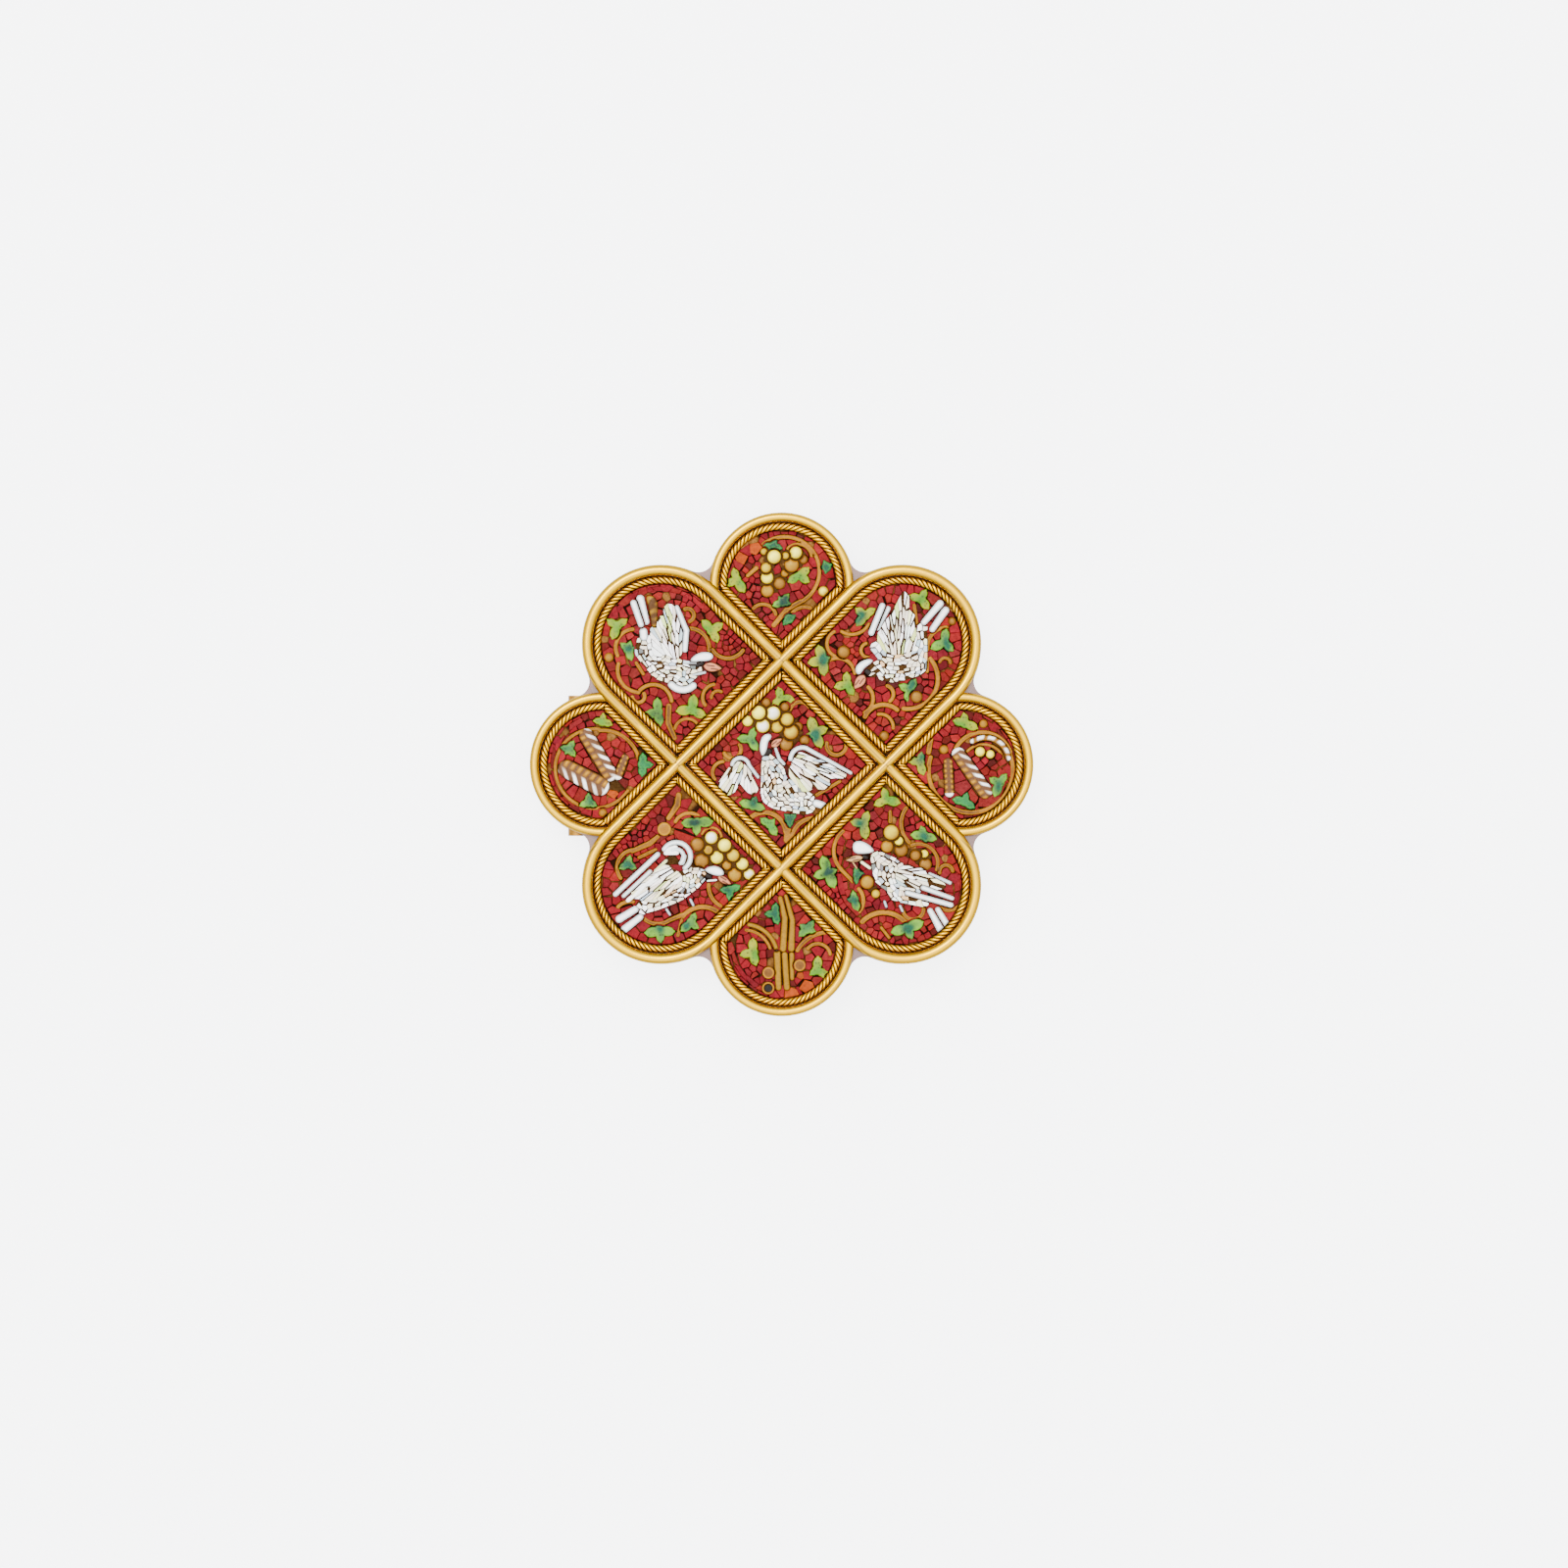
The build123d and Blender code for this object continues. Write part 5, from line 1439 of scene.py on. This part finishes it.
# %% Leaf glazes
leaf_glazes = {
    "centre": [(-0.10, 6.00, "lime", "leaf"), (3.00, 2.85, "lime", "teal"), (-2.85, 2.30, "sage", "teal"),
               (-2.60, -3.75, "sage", "teal"), (-1.05, -5.45, "sage", "mint"), (0.72, -4.98, "mint", "teal")],
    "northwest": [(-4.00, 1.65, "lime", "leaf"), (-3.00, -0.50, "sage", "teal"),
                  (4.60, 1.20, "lime", "leaf"), (-0.25, -6.20, "sage", "deep teal"),
                  (2.85, -6.05, "lime", "leaf")],
    "northeast": [(-7.15, -1.50, "lime", "teal"), (-3.35, 2.60, "lime", "teal"),
                  (1.72, 4.10, "lime", "leaf"), (3.85, 0.15, "sage", "teal"),
                  (-5.00, -3.70, "lime", "leaf"), (0.70, -4.20, "sage", "teal")],
    "southwest": [(3.30, 5.72, "sage", "deep teal"), (-3.00, 1.95, "sage", "teal"),
                  (6.28, -0.45, "mint", "teal"), (2.75, -3.40, "sage", "teal"),
                  (-0.10, -4.15, "sage", "teal")],
    "southeast": [(-1.50, 7.80, "lime", "leaf"), (-3.50, 5.60, "lime", "teal"),
                  (2.00, 4.50, "sage", "teal"), (-6.75, 1.20, "sage", "deep teal"),
                  (-4.05, 0.90, "mint", "teal"), (-4.40, -1.30, "sage", "teal"),
                  (0.40, -3.90, "sage", "teal")],
    "north": [(-4.12, 0.45, "lime", "leaf"), (-0.80, 3.45, "mint", "teal"), (1.55, 0.85, "lime", "leaf"),
              (4.10, 1.60, "mint", "teal"), (0.08, -1.60, "sage", "deep teal"),
              (0.68, -3.12, "mint", "teal")],
    "east": [(0.32, 3.75, "lime", "leaf"), (-3.80, 0.18, "lime", "teal"), (3.50, -1.65, "sage", "teal"),
             (0.30, -3.38, "mint", "teal")],
    "south": [(-0.62, 2.80, "mint", "teal"), (2.30, 1.38, "sage", "teal"), (-2.60, -0.70, "lime", "leaf"),
              (3.20, -2.35, "lime", "leaf")],
    "west": [(0.05, 3.92, "lime", "leaf"), (-3.00, 1.40, "sage", "teal"), (3.72, 0.00, "mint", "teal"),
             (-1.20, -3.45, "sage", "teal")],
}


def nearest_row(rows, cell, loop):
    """Which row's place in the cell is nearest to the middle of the loop."""
    places = np.array([row[:2] for row in rows]) + cell_places[cell]
    return int(np.linalg.norm(places - loop.mean(axis=0), axis=1).argmin())


# %% Melt the leaves
heart_reach = 0.78
most_pits = 6


def two_glazes(tips, heart, place, way, seed):
    """The tips' green, run unevenly into the heart's near the place, with a pale thin rim."""
    blots = wavy(1.0, 0.35, seed)

    def shade_of(plan, far):
        offset = plan - place
        second = offset - way * 1.6
        run = np.exp(-np.sum(offset**2, axis=1) / heart_reach**2 + offset @ way * 0.9)
        run = np.maximum(run, np.exp(-np.sum(second**2, axis=1) / 0.30**2))
        share = column(run * 1.05 + blots(plan, far) * 0.75 - 0.08)
        rim = column(1 - np.abs(far - 0.13) / 0.08) * 0.30
        colour = melt(melt(linear(tips), linear(heart), share), linear("sage"), rim)
        return colour * dark_edge(far, 0.06, 0.55)

    return shade_of


def with_pits(shade_of, pits_at):
    """The same shade with a few dark pits."""
    pit_colour = (linear("deep teal") + linear("core") * 0.3) * 0.6

    def shade(plan, far):
        colour = shade_of(plan, far)
        for place, radius in pits_at:
            share = np.clip(1.4 - np.linalg.norm(plan - place, axis=1) / radius, 0, 0.85)[:, None]
            colour = melt(colour, pit_colour, share)
        return colour

    return shade


for number, cell in enumerate(cells):
    rng = np.random.default_rng(800 + number)
    batch = Batch()
    for height, loop in motifs[cell]["leaves"]:
        pick = nearest_row(leaf_glazes[cell], cell, loop)
        x, y, tips, heart = leaf_glazes[cell][pick]
        place = cell_places[cell] + (x, y) + rng.normal(0, 0.2, 2)
        way = rng.normal(0, 0.45, 2)
        shade_of = two_glazes(tips, heart, place, way, 880 + 10 * number + pick)
        inner = grid_inside(loop, 0.25, 0.16)
        if len(inner):
            spots = inner[rng.choice(len(inner), min(most_pits, len(inner)), replace=False)]
            shade_of = with_pits(shade_of, [(spot, rng.uniform(0.05, 0.10)) for spot in spots])
        pillow(batch, loop, "leaf", shade_of, wavy(0.03, 0.25, 900 + pick))
    batch.piece("leaf_glass_" + cell, green_glass, "green_smalti", "leaves_" + cell)

# %% [markdown]
# ## Vine
# The tendrils are drawn glass threads, laid on their side: a brown core with a paler golden
# skin. The pillow's edge is rounded over the thread's whole half width, so it is a true round.
# Single berries stand higher. Some of them are rings, one is sunk inside, and one block behind a
# dove's tail is broken glass.

# %% Glass of the vine
drift_of = wavy(1.0, 0.5, 71)
grain_of = wavy(1.0, 0.22, 73)


def vine_shade(plan, far):
    """A dark edge, a golden skin and a brown core that comes and goes along the thread."""
    core = np.clip((far - 0.08) / 0.07, 0, 1) * np.clip(0.55 + 1.6 * drift_of(plan, far), 0.1, 1)
    return melt(linear("gold rim"), linear("core"), core[:, None]) * dark_edge(far, 0.05, 0.75)


def ring_shade(rim, core, width):
    """A clear ring of one tint round a core of another."""
    def shade_of(plan, far):
        share = column((far - width) / 0.05)
        return melt(linear(rim), linear(core), share) * dark_edge(far, 0.05, 0.7)

    return shade_of


def hollow(plan, far):
    """The inside of a ring, sunk below its rim."""
    return -0.20 * np.clip((far - 0.15) / 0.08, 0, 1)


def grit_shade(plan, far):
    """Broken brown glass, dark and tan grains side by side."""
    grain = column(0.28 + 1.5 * grain_of(plan, far))
    return melt(linear("core") * 0.7, linear("trunk") * 1.1, grain) * dark_edge(far, 0.05, 0.7)


# %% Draw the vine
ring_reach = 0.45
broken_place = (-0.92, 3.10)
broken_block = [(-1.45, 4.42), (-0.60, 4.36), (-0.26, 3.71), (-0.28, 2.84), (-0.36, 1.50),
                (-0.88, 1.50), (-1.00, 2.53), (-1.20, 3.47)]
ringed_berries = {
    "south": [(-1.2, -4.0, "dark"), (1.6, -1.9, "brown ochre"), (-1.2, -2.6, "brown ochre")],
    "southwest": [(0.3, 5.15, "brown ochre")],
}
for cell in cells:
    batch = Batch()
    for index, (height, loop) in enumerate(motifs[cell]["vine"]):
        x, y = loop.mean(axis=0) - cell_places[cell]
        cores = [core for ring_x, ring_y, core in ringed_berries.get(cell, [])
                 if math.hypot(x - ring_x, y - ring_y) < ring_reach]
        far = math.hypot(x - broken_place[0], y - broken_place[1])
        broken = cell == "northwest" and far < ring_reach
        trunk = cell == "south" and abs(x) < 1.2 and np.ptp(loop[:, 1]) > 2.0
        if broken:
            block = softened(broken_block) + cell_places[cell]
            pillow(batch, block, "block", grit_shade, wavy(0.08, 0.25, 74))
        elif cores:
            shade_of = ring_shade("gold rim", cores[0], 0.15)
            sunk = hollow if cores[0] == "dark" else None
            pillow(batch, loop, "ring", shade_of, sunk)
        elif height > berries_above:
            shade_of = grape_shade("brown ochre", "ochre", "yellow", 0.55, loop.mean(axis=0))
            pillow(batch, loop, "berry", shade_of)
        elif trunk:
            shade_of = ring_shade("brown ochre", "trunk", 0.07)
            pillow(batch, swollen(loop, overlap), "trunk", shade_of, wavy(0.03, 0.4, index))
        else:
            pillow(batch, swollen(loop, 0.03), "thread", vine_shade, wavy(0.02, 0.3, 950 + index))
    batch.piece("vine_glass_" + cell, thread_glass, "ochre_smalti", "vine_" + cell)

# %% [markdown]
# ## Fruit
# Grapes are slices of round cane, two or three glasses drawn together: a pale skin round a white
# heart, or a brown skin round an ochre one. Each outline already has the bites its neighbours
# take. Each row of the table gives a place in the cell and the kind of the grape nearest to it.

# %% Fruit tints
fruit_kinds = {
    "brown": ("brown ochre", "amber"), "cream": ("pale yellow", "cream"), "white": ("pale yellow", "white"),
    "yellow": ("yellow", "pale yellow"), "gold": ("ochre", "yellow"), "pale gold": ("ochre", "pale yellow"),
    "deep": ("yellow", "ochre"), "light": ("yellow", "cream"),
}
fruit_places = {
    "centre": [(-2.10, 4.70, "cream"), (-0.75, 4.65, "white"), (0.50, 4.10, "yellow"),
               (-3.10, 3.95, "cream"), (-1.70, 3.50, "white"), (-0.40, 3.40, "yellow"),
               (0.85, 2.95, "pale gold"), (0.42, 1.85, "brown"), (2.10, 2.20, "brown"),
               (1.35, 2.10, "brown"), (-1.40, 5.65, "brown"), (0.30, 5.25, "brown"), (1.50, 3.45, "brown")],
    "northeast": [(-5.35, -0.75, "brown"), (1.30, -4.85, "brown"), (-1.65, -8.40, "brown"),
                  (4.55, 2.05, "brown")],
    "southwest": [(3.30, 3.70, "brown"), (4.60, 4.32, "white"), (5.80, 3.62, "cream"),
                  (4.30, 3.20, "deep"), (5.10, 2.50, "cream"), (6.58, 2.70, "yellow"),
                  (3.70, 2.20, "brown"), (6.00, 1.78, "gold"), (7.42, 1.92, "cream"),
                  (6.72, 0.92, "gold"), (8.05, 0.98, "white"), (0.30, 5.10, "ring")],
    "southeast": [(-1.00, 4.80, "yellow"), (-0.32, 4.02, "cream"), (-1.38, 3.50, "gold"),
                  (-0.10, 3.20, "brown"), (1.20, 2.70, "brown"), (2.02, 2.85, "cream"),
                  (2.12, 1.88, "brown"), (-3.20, 0.25, "gold"), (-2.42, -0.80, "yellow")],
    "north": [(-0.68, 2.52, "cream"), (0.36, 2.62, "yellow"), (1.30, 2.90, "cream"),
              (0.92, 1.78, "gold"), (1.98, 2.28, "brown"), (-1.42, 1.52, "yellow"),
              (-1.32, 0.62, "cream"), (-0.20, 0.10, "brown"), (-1.30, -0.58, "gold"),
              (0.28, 1.00, "gold"), (3.80, -0.62, "light"), (-1.62, 3.00, "yellow")],
}

# %% Set the fruit
for cell, rows in fruit_places.items():
    batch = Batch()
    for height, loop in motifs[cell]["fruit"]:
        pick = nearest_row(rows, cell, loop)
        kind = rows[pick][2]
        if kind == "ring":
            shade_of = ring_shade("bead", "ochre", 0.17)
        else:
            shade_of = grape_shade("skin", *fruit_kinds[kind], 0.36, loop.mean(axis=0))
        pillow(batch, loop, "fruit", shade_of, wavy(0.03, 0.2, 1000 + pick))
    batch.piece("fruit_glass_" + cell, fruit_glass, "yellow_smalti", "fruit_" + cell)

# %% [markdown]
# ## Ears and pods
# The side petals hold ribbed ears and an open pod with pale peas. An ear is one piece of layered
# glass with a ridge for each grain, so its height and tint go up and down along its length.

# %% Ridges along an ear
# For each piece: its place and kind, the way to its pale side, its capped end and its ridges' lean.
ear_rows = {
    "west": [(-0.35, 0.88, "ear", 0.85, 0.52, 1, 1), (-1.70, -1.20, "ear", -0.47, -0.88, -1, -1),
             (1.80, -0.20, "small", 1.0, -0.4, 1, 1)],
    "east": [(0.94, -0.77, "ear", 0.81, 0.58, -1, 1), (-1.16, -1.20, "small", 1.0, 0.0, 1, 1),
             (2.92, 1.89, "pod", 0, 0, 0, 1), (1.70, 1.15, "pea", 0, 0, 0, 1),
             (2.62, 0.92, "pea", 0, 0, 0, 1), (3.72, 0.10, "pea", 0, 0, 0, 1),
             (3.45, 0.68, "pea", 0, 0, 0, 1)],
}
pod_middle = cell_places["east"] + (2.20, 0.35)
pod_radius = 2.02
pod_half_width = 0.56


def ramp(value, low, high):
    return np.clip((value - low) / (high - low), 0, 1)


def ridges(along, step, low, high):
    """1 on the ridges, one at each step along, and 0 between them."""
    return ramp(np.cos(along * 2 * math.pi / step), low, high)


def ear_measure(loop, kind, side_x, side_y):
    """Gives lengthways millimetres and crossways shares, 1 at the pale side's edge."""
    if kind == "pod":
        def measure(plan):
            offset = plan - pod_middle
            across = (np.linalg.norm(offset, axis=1) - pod_radius) / pod_half_width
            return pod_radius * np.arctan2(offset[:, 1], offset[:, 0]), across
        return measure
    middle = loop.mean(axis=0)
    side_way = left_of(long_way(loop))
    side_way *= np.sign(side_way @ (side_x, side_y))
    length_way = -left_of(side_way)
    half = np.ptp((loop - middle) @ side_way) / 2
    return lambda plan: ((plan - middle) @ length_way, (plan - middle) @ side_way / half)


# %% Carve the ears and pods
def carve_ear(loop, kind, measure, cap, lean, seed):
    """The tints and the relief of one ear, small ear or pod."""
    half_length = np.abs(measure(loop)[0]).max()
    sway = wavy(0.25, 1.0, seed)

    def parts(plan, far):
        """How much each point belongs to a pale slab and to a bead."""
        along, across = measure(plan)
        at = along + sway(plan, far)
        end = np.zeros(len(plan))
        if cap:
            end = ramp(along * cap, half_length - 0.42, half_length - 0.34)
        if kind == "ear":
            strength = 0.95 + 0.35 * np.sin(along * 1.7 + seed)
            slab = ridges(at - lean * 0.85 * across, 1.02, -0.10, 0.70) * ramp(across, -0.05, 0.30)
            slab = np.clip(slab * strength, 0, 1) * ramp(1.0 - across, 0.0, 0.08)
            bead = ridges(at - 0.12 * across, 0.64, -0.8, 0.9)
            bead = bead * np.clip(1.10 - ((across + 0.50) / 0.42) ** 2, 0, 1)
        elif kind == "small":
            slab = np.zeros(len(plan))
            bead = ridges(at, 0.48, -0.9, 0.8)
            bead = bead * np.clip(1.15 - ((np.abs(across) - 0.62) / 0.34) ** 2, 0, 1)
        else:
            slab = ridges(at + 0.2 * across, 0.92, -0.80, 0.0) * ramp(across, -0.25, 0.10)
            slab = slab * ramp(-across, -0.80, -0.60) * 0.92
            bead = ramp(-across, 0.10, 0.35) * 0.5
        return np.maximum(slab, end)[:, None], (bead * (1 - end))[:, None]

    def ear_shade(plan, far):
        slab, bead = parts(plan, far)
        base = linear("ochre") * 0.9 if kind == "pod" else linear("ear brown")
        pale = melt(linear("tan"), linear("white"), slab)
        colour = melt(melt(base, linear("bead"), bead), pale, np.sqrt(slab))
        return colour * dark_edge(far, 0.07, 0.75)

    def ear_relief(plan, far):
        slab, bead = parts(plan, far)
        return (0.09 * slab + 0.10 * bead)[:, 0] * np.clip(far / 0.12, 0, 1) - 0.05

    return ear_shade, ear_relief


for cell, rows in ear_rows.items():
    batch = Batch()
    for index, (height, loop) in enumerate(motifs[cell]["pods"]):
        kind, side_x, side_y, cap, lean = rows[nearest_row(rows, cell, loop)][2:]
        if kind == "pea":
            shade_of = grape_shade("skin", "pale yellow", "cream", 0.3, loop.mean(axis=0))
            pillow(batch, loop, "fruit", shade_of)
            continue
        measure = ear_measure(loop, kind, side_x, side_y)
        shade_of, relief = carve_ear(loop, kind, measure, cap, lean, 1100 + index)
        pillow(batch, loop, "ear", shade_of, relief)
    batch.piece("pod_glass_" + cell, pod_glass, "tan_smalti", "pods_" + cell)
